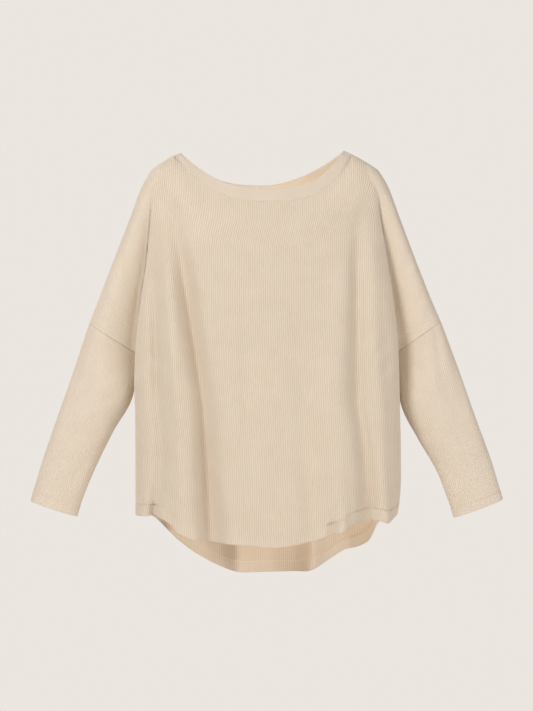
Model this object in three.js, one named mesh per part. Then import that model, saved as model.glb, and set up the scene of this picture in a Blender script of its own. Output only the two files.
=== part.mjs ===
import * as THREE from 'three';

// Thermal base layer top, filled out with no wearer. Millimetres, +Z up.
// The front faces -Y and +X is on the viewer's right. The origin is between the
// two neck points, at the height of the shoulders.

// Cloth
const WALL = 2.0;
const SEAM_GAP = 0.3;
const BAND_GAP = 0.6;
const HEM_DEPTH = 20;
const HEM_RAISE = 0.8;
const HEM_STEP = 1.2;

// Mesh density
const BODY_COLUMNS = 36;
const WING_COLUMNS = 5;
const UPPER_ROWS = 14;
const LOWER_ROWS = 11;
const UPPER_ROW_POWER = 1.45;
const SLEEVE_COLUMNS = 20;
const SLEEVE_ROWS = 12;
const BAND_ROWS = 2;
// Column of a panel, counted from each side, that lands on the neck point.
const NECK_COLUMN = 5;

// Neckline: the lower and upper edge of the band, each an oval in plan.
// Its height climbs from the low point to the neck points by a power of the
// distance from the middle, with a power of its own on each quarter.
const NECK_EDGES = {
  seam: {
    centreX: -5.3, halfWidth: 147.3, frontDepth: 59, backDepth: 56,
    leftZ: -4, rightZ: -3, frontLow: -83, backLow: -69
  },
  top: {
    centreX: -7, halfWidth: 134, frontDepth: 53, backDepth: 50,
    leftZ: 0, rightZ: 4, frontLow: -62, backLow: -49
  }
};
const NECK_POWERS = { frontLeft: 2.3, frontRight: 3.3, backLeft: 2.8, backRight: 1.85 };
const BAND_THICKNESS = 2.6;

// Shoulder seam and overarm line on each side: x by height.
const OVERARM = {
  left: [
    { z: -28, x: -190 }, { z: -44, x: -199.5 }, { z: -61, x: -208 }, { z: -110, x: -226 },
    { z: -176, x: -252 }, { z: -242, x: -277 }, { z: -282, x: -292.5 }
  ],
  right: [
    { z: -28, x: 184 }, { z: -44, x: 194.5 }, { z: -61, x: 203 }, { z: -110, x: 221 },
    { z: -176, x: 246 }, { z: -242, x: 272 }, { z: -278, x: 287.5 }
  ]
};

// The crease between the body and each dropped shoulder, down to the underarm
// point, and below it the side seam. depth is how far the crease stays from
// the middle plane, and tuck how far the folds beside it stand past it.
const SIDES = {
  left: [
    { z: -20, x: -178, depth: 34, tuck: 0 }, { z: -61, x: -187, depth: 32, tuck: 0 },
    { z: -110, x: -190, depth: 27, tuck: 1 }, { z: -176, x: -195, depth: 22, tuck: 2 },
    { z: -242, x: -204, depth: 15, tuck: 3 }, { z: -300, x: -210, depth: 7, tuck: 4 },
    { z: -332, x: -212, depth: 0, tuck: 5 }, { z: -380, x: -213.5, depth: 0, tuck: 5 },
    { z: -430, x: -214, depth: 0, tuck: 2 }, { z: -600, x: -214, depth: 0, tuck: 1 }
  ],
  right: [
    { z: -20, x: 168, depth: 34, tuck: 0 }, { z: -61, x: 181, depth: 32, tuck: 0 },
    { z: -110, x: 187, depth: 27, tuck: 1 }, { z: -176, x: 196, depth: 21, tuck: 2 },
    { z: -242, x: 204, depth: 14, tuck: 3 }, { z: -300, x: 210.5, depth: 6.5, tuck: 4 },
    { z: -329, x: 213, depth: 0, tuck: 5 }, { z: -380, x: 214.5, depth: 0, tuck: 5 },
    { z: -430, x: 217, depth: 0, tuck: 3 }, { z: -500, x: 219, depth: 0, tuck: 2 },
    { z: -560, x: 218.5, depth: 0, tuck: 1 }, { z: -605, x: 212, depth: 0, tuck: 1 }
  ]
};
const UNDERARM_Z = { left: -332, right: -329 };

// How far the dropped shoulder bulges past its crease, by height.
const WING_BULGE = [
  { z: -28, bulge: 0 }, { z: -61, bulge: 3 }, { z: -110, bulge: 12 },
  { z: -176, bulge: 20 }, { z: -242, bulge: 26 }, { z: -330, bulge: 31 }
];

// Depth of the body from the middle plane, and how square its section is
// (1 is an ellipse, less is squarer), by height.
const BODY_DEPTH = {
  front: [
    { z: -20, depth: 50, square: 2 }, { z: -83, depth: 64, square: 1.35 },
    { z: -130, depth: 76, square: 0.95 }, { z: -200, depth: 88, square: 0.68 },
    { z: -300, depth: 97, square: 0.54 }, { z: -450, depth: 102, square: 0.5 },
    { z: -650, depth: 102, square: 0.5 }
  ],
  back: [
    { z: -20, depth: 48, square: 2 }, { z: -83, depth: 62, square: 1.35 },
    { z: -130, depth: 74, square: 0.95 }, { z: -200, depth: 85, square: 0.68 },
    { z: -300, depth: 94, square: 0.54 }, { z: -450, depth: 100, square: 0.5 },
    { z: -700, depth: 104, square: 0.5 }
  ]
};
// Height over which a panel rounds over from the shoulder seam and from the neckline.
const SHOULDER_ROUND = 30;
const NECK_ROUND = 90;
// How the shoulder seam falls away from the neck point, as a power.
const SHOULDER_POWER = 1.15;
// Where across a section the tucks lie, and how the folds fade towards the side, as
// powers of its cosine.
const TUCK_POWER = 0.55;
const FADE_POWER = 0.35;
// Part of the upper panel over which its columns move from the top edge to the body.
const TOP_BLEND = 0.2;

// Long folds that fall from the shoulders. A trough has a positive depth and a
// ridge a negative one. x is given at the fold's top, middle and hem, and sway is
// how far the fold bows sideways between its middle and the hem.
const FOLD_MIDDLE_Z = -400;
const FOLD_HEM_Z = -640;
// Length over which a fold sets in, and the part of its depth that it has near its top.
const FOLD_ONSET = 150;
const FOLD_TOP_PART = 0.5;
const FOLD_WIDTH = { middle: 0.8, hem: 1.1 };
// The columns of a panel lean with its troughs: the reach of that lean on each
// side of a trough, as part of the body's half width, and where it starts.
const LEAN_REACH = 0.36;
const LEAN_TOP_Z = -90;
const LEAN_LENGTH = 80;
const FOLDS = {
  front: [
    { topZ: -130, topX: -182, midX: -178, hemX: -196, sway: 15, width: 11, midDepth: 9, hemDepth: 15 },
    { topZ: -70, topX: -152, midX: -104, hemX: -89, sway: 0, width: 17, midDepth: 23, hemDepth: 31 },
    { topZ: -110, topX: -166, midX: -146, hemX: -138, sway: 4, width: 17, midDepth: -6, hemDepth: -8 },
    { topZ: -190, topX: -62, midX: -58, hemX: -44, sway: 0, width: 24, midDepth: -4, hemDepth: -6 },
    { topZ: -280, topX: 58, midX: 62, hemX: 78, sway: 0, width: 22, midDepth: 6, hemDepth: 11 },
    { topZ: -220, topX: 112, midX: 114, hemX: 120, sway: 0, width: 22, midDepth: -5, hemDepth: -8 },
    { topZ: -80, topX: 149, midX: 146, hemX: 166, sway: 5, width: 14, midDepth: 14, hemDepth: 24 },
    { topZ: -240, topX: 168, midX: 185, hemX: 192, sway: 0, width: 13, midDepth: -4, hemDepth: -5 }
  ],
  back: [
    { topZ: -130, topX: -170, midX: -164, hemX: -158, sway: -6, width: 14, midDepth: 13, hemDepth: 22 },
    { topZ: -120, topX: -118, midX: -110, hemX: -104, sway: 0, width: 20, midDepth: -6, hemDepth: -9 },
    { topZ: -110, topX: -76, midX: -58, hemX: -46, sway: 4, width: 18, midDepth: 14, hemDepth: 22 },
    { topZ: -250, topX: 6, midX: 8, hemX: 12, sway: 0, width: 24, midDepth: -5, hemDepth: -9 },
    { topZ: -100, topX: 96, midX: 82, hemX: 78, sway: -5, width: 17, midDepth: 17, hemDepth: 26 },
    { topZ: -150, topX: 128, midX: 130, hemX: 134, sway: 0, width: 18, midDepth: -6, hemDepth: -10 },
    { topZ: -120, topX: 164, midX: 170, hemX: 184, sway: 6, width: 12, midDepth: 12, hemDepth: 18 }
  ]
};

// Lower edge of each panel: height by x.
const HEMS = {
  front: [
    { x: -216, z: -594 }, { x: -176, z: -596 }, { x: -155, z: -605 }, { x: -138, z: -620 },
    { x: -98, z: -633 }, { x: -28, z: -638 }, { x: 5, z: -642 }, { x: 53, z: -636 },
    { x: 106, z: -622 }, { x: 128, z: -608 }, { x: 165, z: -600 }, { x: 199, z: -602 },
    { x: 213, z: -593 }
  ],
  back: [
    { x: -216, z: -594 }, { x: -194, z: -601 }, { x: -167, z: -621 }, { x: -152, z: -643 },
    { x: -97, z: -682 }, { x: -55, z: -697 }, { x: -8, z: -703 }, { x: 58, z: -699 },
    { x: 92, z: -687 }, { x: 133, z: -662 }, { x: 172, z: -645 }, { x: 188, z: -614 },
    { x: 200, z: -602 }, { x: 213, z: -593 }
  ]
};
// Height at which a column's place along the hem is read.
const HEM_LEVEL_Z = -600;

// Sleeves: the outer and the inner edge and half of the thickness at each
// section, from the drop seam (0) to the cuff (1).
const SLEEVES = {
  left: [
    { at: 0, outerX: -292.5, outerZ: -282, innerX: -212.8, innerZ: -332, half: 31 },
    { at: 0.25, outerX: -319, outerZ: -362, innerX: -221, innerZ: -403, half: 31 },
    { at: 0.5, outerX: -345, outerZ: -436, innerX: -252, innerZ: -458, half: 29 },
    { at: 0.75, outerX: -368, outerZ: -503, innerX: -283, innerZ: -521, half: 26 },
    { at: 0.92, outerX: -383, outerZ: -552, innerX: -305, innerZ: -575, half: 22 },
    { at: 1, outerX: -389, outerZ: -574, innerX: -312, innerZ: -599, half: 21 }
  ],
  right: [
    { at: 0, outerX: 287.5, outerZ: -278, innerX: 213.8, innerZ: -329, half: 31 },
    { at: 0.25, outerX: 318, outerZ: -360, innerX: 221, innerZ: -412, half: 31 },
    { at: 0.5, outerX: 344, outerZ: -434, innerX: 249, innerZ: -470, half: 29 },
    { at: 0.75, outerX: 369, outerZ: -502, innerX: 281, innerZ: -525, half: 26 },
    { at: 0.92, outerX: 384, outerZ: -551, innerX: 302, innerZ: -579, half: 22 },
    { at: 1, outerX: 390, outerZ: -571, innerX: 309, innerZ: -601, half: 21 }
  ]
};
// Part of the sleeve over which its pointed drop-seam section turns round.
const SLEEVE_ROUNDING = 0.3;
// Long soft trough on each sleeve, along its outer edge: where it lies across
// the sleeve (0 inner edge, 1 outer edge), and its depth.
const SLEEVE_TROUGH = { across: 0.74, width: 0.13, depth: 4, from: 0.02, to: 0.62 };

const FABRIC = { color: 0xf0e3cb, roughness: 0.95, metalness: 0 };

const mix = (a, b, t) => a + (b - a) * t;
const clamp01 = (t) => Math.min(1, Math.max(0, t));
const smooth = (t) => {
  const s = clamp01(t);
  return s * s * (3 - 2 * s);
};

// Reads a named column of a table at a value of its key column, along a smooth
// cubic through the rows.
function read(rows, key, at, column) {
  const rising = rows[rows.length - 1][key] > rows[0][key];
  const sign = rising ? 1 : -1;
  const last = rows.length - 1;
  const place = Math.min(rows[last][key] * sign, Math.max(rows[0][key] * sign, at * sign));
  let i = 0;
  while (i < last - 1 && rows[i + 1][key] * sign < place) {
    i += 1;
  }
  const slope = (j) => {
    const before = rows[Math.max(0, j - 1)];
    const after = rows[Math.min(last, j + 1)];
    return (after[column] - before[column]) / ((after[key] - before[key]) * sign);
  };
  const step = (rows[i + 1][key] - rows[i][key]) * sign;
  const t = (place - rows[i][key] * sign) / step;
  const t2 = t * t;
  const t3 = t2 * t;
  return (2 * t3 - 3 * t2 + 1) * rows[i][column] + (t3 - 2 * t2 + t) * step * slope(i)
    + (3 * t2 - 2 * t3) * rows[i + 1][column] + (t3 - t2) * step * slope(i + 1);
}

// A point of a neckline edge: turn 0 is the right neck point, and the front is
// passed between turn 0 and half a turn.
function neckPoint(edge, turn) {
  const across = Math.cos(turn);
  const front = Math.sin(turn) >= 0;
  const right = across >= 0;
  const power = NECK_POWERS[(front ? 'front' : 'back') + (right ? 'Right' : 'Left')];
  const low = front ? edge.frontLow : edge.backLow;
  const high = right ? edge.rightZ : edge.leftZ;
  const depth = front ? edge.frontDepth : edge.backDepth;
  return new THREE.Vector3(
    edge.centreX + edge.halfWidth * across,
    -depth * Math.sin(turn),
    low + (high - low) * Math.abs(across) ** power
  );
}

// Directions across the band, from its seam edge to its top edge, and along
// it, square to the first.
function bandDirections(turn) {
  const nearby = 0.01;
  const across = neckPoint(NECK_EDGES.top, turn).sub(neckPoint(NECK_EDGES.seam, turn)).normalize();
  const along = neckPoint(NECK_EDGES.seam, turn + nearby).sub(neckPoint(NECK_EDGES.seam, turn - nearby));
  along.addScaledVector(across, -along.dot(across)).normalize();
  return [across, along];
}

// Turn of the neckline at x, on the front or the back.
function neckTurn(face, x) {
  const edge = NECK_EDGES.seam;
  const across = Math.min(1, Math.max(-1, (x - edge.centreX) / edge.halfWidth));
  return Math.acos(across) * (face === 'front' ? 1 : -1);
}

// Top edge of a panel at x: the neckline between the neck points, and the
// shoulder seam outside them.
function topEdge(face, x) {
  const edge = NECK_EDGES.seam;
  const across = (x - edge.centreX) / edge.halfWidth;
  if (Math.abs(across) < 1) {
    const point = neckPoint(edge, neckTurn(face, x));
    return { y: Math.abs(point.y), z: point.z, neck: Math.sqrt(1 - across * across) };
  }
  const side = across > 0 ? 'right' : 'left';
  const corner = OVERARM[side][0];
  const neckX = edge.centreX + Math.sign(across) * edge.halfWidth;
  const neckZ = across > 0 ? edge.rightZ : edge.leftZ;
  const along = clamp01((x - neckX) / (corner.x - neckX));
  return { y: 0, z: mix(neckZ, corner.z, along ** SHOULDER_POWER), neck: 0 };
}

// Middle line, depth and width of a fold at a height.
function foldAt(fold, z) {
  const upper = clamp01((fold.topZ - z) / (fold.topZ - FOLD_MIDDLE_Z));
  const lower = clamp01((FOLD_MIDDLE_Z - z) / (FOLD_MIDDLE_Z - FOLD_HEM_Z));
  const onset = smooth((fold.topZ - z) / FOLD_ONSET) * mix(FOLD_TOP_PART, 1, upper);
  return {
    x: mix(mix(fold.topX, fold.midX, upper), fold.hemX, lower) + fold.sway * Math.sin(Math.PI * lower),
    depth: mix(fold.midDepth, fold.hemDepth, lower) * onset,
    width: fold.width * mix(FOLD_WIDTH.middle, FOLD_WIDTH.hem, lower)
  };
}

// Depth that the folds of a panel take away at a place.
function foldDepth(face, x, z) {
  let total = 0;
  for (const fold of FOLDS[face]) {
    const { x: centre, depth, width } = foldAt(fold, z);
    total += depth * Math.exp(-(((x - centre) / width) ** 2));
  }
  return total;
}

// How far the columns lean at a height, as part of the body's half width.
function lean(face, sine, z, middle, half) {
  let total = 0;
  for (const fold of FOLDS[face]) {
    if (fold.hemDepth < 0) {
      continue;
    }
    const home = (fold.hemX - middle) / half;
    const shift = (foldAt(fold, z).x - fold.hemX) / half;
    total += shift * Math.exp(-(((sine - home) / LEAN_REACH) ** 2));
  }
  return total * (1 - sine * sine) * smooth((LEAN_TOP_Z - z) / LEAN_LENGTH);
}

// A point of the body between the two creases or side seams. across runs from
// -1 to 1, and its sine places the point, so the sides round away.
function bodyPoint(face, across, z, top) {
  const left = (column) => read(SIDES.left, 'z', z, column);
  const right = (column) => read(SIDES.right, 'z', z, column);
  const sine = Math.sin(across * Math.PI / 2);
  const cosine = Math.max(0, Math.cos(across * Math.PI / 2));
  const middle = (left('x') + right('x')) / 2;
  const half = (right('x') - left('x')) / 2;
  const rim = across < 0 ? left('depth') : right('depth');
  const tuck = (across < 0 ? left('tuck') : right('tuck')) * Math.sign(across);
  const shape = read(BODY_DEPTH[face], 'z', z, 'depth');
  const square = read(BODY_DEPTH[face], 'z', z, 'square');
  const x = middle + half * (sine + lean(face, sine, z, middle, half))
    + tuck * Math.sin(Math.PI * cosine ** TUCK_POWER) * Math.abs(sine);
  const fade = cosine ** FADE_POWER;
  const hull = rim + (shape - rim) * cosine ** square - foldDepth(face, x, z) * fade;
  return { x, depth: roundTop(hull, top, z), z };
}

// Lets a panel start at its top edge and round over to its full depth.
function roundTop(hull, top, z) {
  const below = clamp01((top.z - z) / mix(SHOULDER_ROUND, NECK_ROUND, top.neck));
  const round = Math.sqrt(1 - (1 - below) ** 2);
  const slope = Math.sin(below * Math.PI / 2);
  return top.y + (hull - top.y) * mix(round, slope, top.neck);
}

// A point of the dropped shoulder, from the crease (across 0) to the overarm
// line (across 1). The rows slant, so that the last one is the drop seam.
function wingPoint(face, side, across, creaseZ, outerZ, top) {
  const reach = Math.sin(across * Math.PI / 2);
  const creaseX = read(SIDES[side], 'z', creaseZ, 'x');
  const outerX = read(OVERARM[side], 'z', outerZ, 'x');
  const z = mix(creaseZ, outerZ, reach);
  const rim = read(SIDES[side], 'z', creaseZ, 'depth');
  const bulge = read(WING_BULGE, 'z', creaseZ, 'bulge');
  const hull = rim * Math.sqrt(1 - reach * reach) + bulge * Math.sin(across * Math.PI);
  return { x: mix(creaseX, outerX, reach), depth: roundTop(hull, top, z), z };
}

// Top edge of a place that is far below it.
const NO_TOP = { y: 0, z: 0, neck: 0 };

// Places across the body that share out the length of its front section at a
// level of the lower body evenly.
const EVEN_LEVEL_Z = -520;
function evenColumns(count) {
  const fine = 400;
  const lengths = [0];
  let before = bodyPoint('front', -1, EVEN_LEVEL_Z, NO_TOP);
  for (let i = 1; i <= fine; i += 1) {
    const point = bodyPoint('front', -1 + 2 * i / fine, EVEN_LEVEL_Z, NO_TOP);
    lengths.push(lengths[i - 1] + Math.hypot(point.x - before.x, point.depth - before.depth));
    before = point;
  }
  const columns = [];
  for (let k = 0, i = 0; k <= count; k += 1) {
    const target = lengths[fine] * k / count;
    while (i < fine - 1 && lengths[i + 1] < target) {
      i += 1;
    }
    const t = (target - lengths[i]) / (lengths[i + 1] - lengths[i]);
    columns.push(-1 + 2 * (i + t) / fine);
  }
  return columns;
}

const BODY_ACROSS = evenColumns(BODY_COLUMNS);

// x of each body column on the top edge: two of the columns land on the neck
// points, and the rest keep their spacing.
const TOP_X = BODY_ACROSS.map((across) => {
  const sine = (value) => Math.sin(value * Math.PI / 2);
  const left = sine(BODY_ACROSS[NECK_COLUMN]);
  const right = sine(BODY_ACROSS[BODY_COLUMNS - NECK_COLUMN]);
  const part = (sine(across) - left) / (right - left);
  return NECK_EDGES.seam.centreX + NECK_EDGES.seam.halfWidth * (2 * part - 1);
});

// Sheet of four-sided cells: the outer points of a wall.
class Sheet {
  constructor() {
    this.points = [];
    this.cells = [];
    this.planes = [];
  }

  // planes are the normals of the seam planes that the wall's edge stays in.
  add(point, ...planes) {
    this.points.push(point);
    this.planes.push(planes);
    return this.points.length - 1;
  }

  cell(a, b, c, d) {
    this.cells.push([a, b, c, d]);
  }
}

// Turns a sheet into a closed wall: its inner points lie one thickness inside
// the outer ones, and rims close it along every free edge.
function wall(sheet, thickness) {
  const { points, cells, planes } = sheet;
  const normals = points.map(() => new THREE.Vector3());
  const faces = [];
  for (const [a, b, c, d] of cells) {
    const first = points[a].distanceTo(points[c]) <= points[b].distanceTo(points[d]);
    faces.push(...(first ? [[a, b, c], [a, c, d]] : [[a, b, d], [b, c, d]]));
  }
  const edges = new Map();
  for (const [a, b, c] of faces) {
    const ab = points[b].clone().sub(points[a]);
    const ac = points[c].clone().sub(points[a]);
    const normal = ab.cross(ac);
    for (const i of [a, b, c]) {
      normals[i].add(normal);
    }
    for (const [i, j] of [[a, b], [b, c], [c, a]]) {
      if (!edges.delete(`${j} ${i}`)) {
        edges.set(`${i} ${j}`, [i, j]);
      }
    }
  }
  const inner = points.map((point, i) => {
    const normal = normals[i].normalize();
    for (const plane of planes[i]) {
      normal.addScaledVector(plane, -normal.dot(plane)).normalize();
    }
    return point.clone().addScaledVector(normal, -thickness);
  });
  const count = points.length;
  const index = [];
  for (const [a, b, c] of faces) {
    index.push(a, b, c, count + a, count + c, count + b);
  }
  for (const [i, j] of edges.values()) {
    index.push(i, count + i, j, j, count + i, count + j);
  }
  const geometry = new THREE.BufferGeometry().setFromPoints([...points, ...inner]);
  geometry.setIndex(index);
  return geometry;
}

const SIDE_PLANE = new THREE.Vector3(0, 1, 0);

// Unit normal, pointing down the sleeve, of the plane of a drop seam.
function dropSeamNormal(side) {
  const ring = SLEEVES[side][0];
  const along = new THREE.Vector3(ring.outerX - ring.innerX, 0, ring.outerZ - ring.innerZ);
  const normal = along.cross(SIDE_PLANE).normalize();
  return normal.z < 0 ? normal : normal.negate();
}

// Front or back panel: body, both dropped shoulders and the turned hem.
function panel(face) {
  const sheet = new Sheet();
  const facing = face === 'front' ? -1 : 1;
  const halfGap = SEAM_GAP / 2;
  const place = (point, ...planes) => {
    const y = facing * Math.max(halfGap, point.depth);
    return sheet.add(new THREE.Vector3(point.x, y, point.z), ...planes);
  };
  const bodyHeight = (column, down) => {
    const level = mix(UNDERARM_Z.left, UNDERARM_Z.right, (BODY_ACROSS[column] + 1) / 2);
    return mix(topEdge(face, TOP_X[column]).z, level, down);
  };

  const bodyCorner = (column, row, down) => {
    const top = topEdge(face, TOP_X[column]);
    const point = bodyPoint(face, BODY_ACROSS[column], bodyHeight(column, down), top);
    point.x = mix(TOP_X[column], point.x, smooth(down / TOP_BLEND));
    const planes = [];
    const inset = Math.min(column, BODY_COLUMNS - column);
    if (row === 0 && inset >= NECK_COLUMN) {
      const [across, along] = bandDirections(neckTurn(face, TOP_X[column]));
      point.x -= across.x * BAND_GAP / 2;
      point.z -= across.z * BAND_GAP / 2;
      point.depth -= facing * across.y * BAND_GAP / 2;
      planes.push(across, along);
    }
    if (row === 0 && inset < NECK_COLUMN) {
      planes.push(SIDE_PLANE);
    }
    if (row === UPPER_ROWS && inset === 0) {
      planes.push(SIDE_PLANE);
    }
    return place(point, ...planes);
  };

  const wingCorner = (side, step, row, down) => {
    const column = side === 'left' ? 0 : BODY_COLUMNS;
    const across = step / WING_COLUMNS;
    const corner = OVERARM[side][0];
    const seamEnd = OVERARM[side][OVERARM[side].length - 1];
    const startX = mix(TOP_X[column], corner.x, Math.sin(across * Math.PI / 2));
    const top = topEdge(face, startX);
    const outerZ = mix(corner.z, seamEnd.z, down);
    const point = wingPoint(face, side, across, bodyHeight(column, down), outerZ, top);
    const planes = [];
    if (row === 0) {
      point.x = startX;
      point.z = top.z;
    }
    if (row === UPPER_ROWS) {
      const normal = dropSeamNormal(side);
      point.x -= normal.x * halfGap;
      point.z -= normal.z * halfGap;
      planes.push(normal);
    }
    if (row === 0 || step === WING_COLUMNS) {
      planes.push(SIDE_PLANE);
    }
    return place(point, ...planes);
  };

  const grid = [];
  for (let row = 0; row <= UPPER_ROWS; row += 1) {
    const down = (row / UPPER_ROWS) ** UPPER_ROW_POWER;
    const line = [];
    for (let step = WING_COLUMNS; step > 0; step -= 1) {
      line.push(wingCorner('left', step, row, down));
    }
    for (let column = 0; column <= BODY_COLUMNS; column += 1) {
      line.push(bodyCorner(column, row, down));
    }
    for (let step = 1; step <= WING_COLUMNS; step += 1) {
      line.push(wingCorner('right', step, row, down));
    }
    grid.push(line);
  }

  const lower = [grid[UPPER_ROWS].slice(WING_COLUMNS, -WING_COLUMNS)];
  const rows = [];
  for (let row = 1; row <= LOWER_ROWS; row += 1) {
    rows.push({ down: row / LOWER_ROWS, drop: 0, raise: 0 });
  }
  rows.push({ down: 1, drop: HEM_STEP, raise: HEM_RAISE });
  rows.push({ down: 1, drop: HEM_DEPTH, raise: HEM_RAISE });
  for (const { down, drop, raise } of rows) {
    lower.push(BODY_ACROSS.map((across) => {
      const level = mix(UNDERARM_Z.left, UNDERARM_Z.right, (across + 1) / 2);
      const hemX = bodyPoint(face, across, HEM_LEVEL_Z, NO_TOP).x;
      const hemZ = read(HEMS[face], 'x', hemX, 'z');
      const z = mix(level, hemZ + HEM_DEPTH, down) - drop;
      const point = bodyPoint(face, across, z, NO_TOP);
      const onSeam = Math.abs(across) === 1;
      point.depth += onSeam ? 0 : raise;
      point.x += onSeam ? raise * Math.sign(across) : 0;
      return place(point, ...(onSeam ? [SIDE_PLANE] : []));
    }));
  }

  for (const lines of [grid, lower]) {
    for (let row = 1; row < lines.length; row += 1) {
      for (let column = 1; column < lines[row].length; column += 1) {
        const corners = [
          lines[row - 1][column - 1], lines[row][column - 1],
          lines[row][column], lines[row - 1][column]
        ];
        if (face === 'back') {
          corners.reverse();
        }
        sheet.cell(...corners);
      }
    }
  }
  return wall(sheet, WALL);
}

// Sleeve: flattened rings from the drop seam to the turned cuff.
function sleeve(side) {
  const sheet = new Sheet();
  const table = SLEEVES[side];
  const seamNormal = dropSeamNormal(side);
  const cuff = table[table.length - 1];
  const length = Math.hypot(cuff.outerX - table[0].outerX, cuff.outerZ - table[0].outerZ);
  const rings = [];
  for (let row = 0; row < SLEEVE_ROWS; row += 1) {
    rings.push({ at: (1 - HEM_DEPTH / length) * row / (SLEEVE_ROWS - 1), raise: 0 });
  }
  rings.push({ at: 1 - (HEM_DEPTH - HEM_STEP) / length, raise: HEM_RAISE });
  rings.push({ at: 1, raise: HEM_RAISE });
  const grid = rings.map(({ at, raise }) => {
    const value = (column) => read(table, 'at', at, column);
    const outer = new THREE.Vector3(value('outerX'), 0, value('outerZ'));
    const inner = new THREE.Vector3(value('innerX'), 0, value('innerZ'));
    const span = outer.clone().sub(inner).normalize();
    const roundness = smooth(at / SLEEVE_ROUNDING);
    const line = [];
    for (let step = 0; step < SLEEVE_COLUMNS; step += 1) {
      const turn = 2 * Math.PI * step / SLEEVE_COLUMNS;
      const across = (1 - Math.cos(turn)) / 2;
      const pointed = 2 * across * Math.sqrt(1 - across * across);
      const round = 2 * Math.sqrt(across * (1 - across));
      const along = clamp01((at - SLEEVE_TROUGH.from) / (SLEEVE_TROUGH.to - SLEEVE_TROUGH.from));
      const beside = (across - SLEEVE_TROUGH.across) / SLEEVE_TROUGH.width;
      const trough = SLEEVE_TROUGH.depth * Math.sin(Math.PI * along) * Math.exp(-beside * beside);
      const half = (value('half') + raise) * mix(pointed, round, roundness) - trough;
      const point = inner.clone().lerp(outer, across).addScaledVector(span, raise * (2 * across - 1));
      point.y = -Math.sign(Math.sin(turn)) * Math.max(0, half) * (step === 0 ? 0 : 1);
      if (step * 2 === SLEEVE_COLUMNS) {
        point.y = 0;
      }
      if (at === 0) {
        point.addScaledVector(seamNormal, SEAM_GAP / 2);
      }
      line.push(sheet.add(point, ...(at === 0 ? [seamNormal] : [])));
    }
    return line;
  });
  for (let row = 1; row < grid.length; row += 1) {
    for (let step = 0; step < SLEEVE_COLUMNS; step += 1) {
      const next = (step + 1) % SLEEVE_COLUMNS;
      const corners = [grid[row - 1][step], grid[row][step], grid[row][next], grid[row - 1][next]];
      if (side === 'left') {
        corners.reverse();
      }
      sheet.cell(...corners);
    }
  }
  return wall(sheet, WALL);
}

// Neckband: one ring between the seam edge and the top edge of the neckline,
// with the same columns as the panels that it is sewn to.
function neckband() {
  const sheet = new Sheet();
  const neckX = TOP_X.slice(NECK_COLUMN, -NECK_COLUMN);
  const turns = [
    ...neckX.slice(1).reverse().map((x) => neckTurn('front', x)),
    ...neckX.slice(0, -1).map((x) => neckTurn('back', x))
  ];
  const grid = [];
  for (let row = 0; row <= BAND_ROWS; row += 1) {
    grid.push(turns.map((turn) => {
      const [across, along] = bandDirections(turn);
      const seam = neckPoint(NECK_EDGES.seam, turn).addScaledVector(across, BAND_GAP / 2);
      const point = neckPoint(NECK_EDGES.top, turn).lerp(seam, row / BAND_ROWS);
      return sheet.add(point, ...(row === BAND_ROWS ? [across, along] : []));
    }));
  }
  for (let row = 1; row <= BAND_ROWS; row += 1) {
    for (let step = 0; step < turns.length; step += 1) {
      const next = (step + 1) % turns.length;
      sheet.cell(grid[row - 1][next], grid[row][next], grid[row][step], grid[row - 1][step]);
    }
  }
  return wall(sheet, BAND_THICKNESS);
}

const PIECES = {
  front: () => panel('front'),
  back: () => panel('back'),
  sleeve_left: () => sleeve('left'),
  sleeve_right: () => sleeve('right'),
  neckband
};

const garment = new THREE.Group();
for (const [name, shape] of Object.entries(PIECES)) {
  const mesh = new THREE.Mesh(shape(), new THREE.MeshStandardMaterial(FABRIC));
  mesh.name = name;
  garment.add(mesh);
}

export default garment;
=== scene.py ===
"""Cloth, seams, stitches and stage of a thermal base layer top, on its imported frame.

Shapes are worked out in millimetres, in the frame of the CAD part: the front faces
-Y and +X is on the viewer's right. Each mesh is written in metres.
"""
import math

import bmesh
import bpy
import numpy as np
from bpy.props import FloatProperty, FloatVectorProperty, IntProperty, PointerProperty
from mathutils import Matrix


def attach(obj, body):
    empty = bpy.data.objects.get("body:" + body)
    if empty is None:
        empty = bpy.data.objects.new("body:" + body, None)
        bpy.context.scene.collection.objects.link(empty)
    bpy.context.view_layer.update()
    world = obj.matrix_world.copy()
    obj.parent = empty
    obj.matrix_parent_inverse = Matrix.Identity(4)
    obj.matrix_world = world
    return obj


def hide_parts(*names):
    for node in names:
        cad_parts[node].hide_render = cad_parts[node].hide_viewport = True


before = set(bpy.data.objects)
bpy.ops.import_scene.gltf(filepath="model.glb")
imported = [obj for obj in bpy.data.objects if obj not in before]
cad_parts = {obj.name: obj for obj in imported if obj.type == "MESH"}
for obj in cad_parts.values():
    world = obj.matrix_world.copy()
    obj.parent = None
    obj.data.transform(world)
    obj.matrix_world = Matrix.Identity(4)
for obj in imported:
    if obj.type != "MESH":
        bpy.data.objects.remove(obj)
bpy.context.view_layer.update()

bl_info = {
    "name": "Thermal top cloth",
    "version": (1, 0, 0),
    "blender": (4, 5, 0),
    "location": "3D View > Sidebar > Thermal top",
    "description": "Makes the rib knit, seams, stitches and stage of a thermal base layer top",
    "category": "Add Mesh",
}

MM = 0.001


def table(columns, *rows):
    """A short table with named columns: one array for each column."""
    return dict(zip(columns.split(), np.array(rows, float).T))


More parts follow.
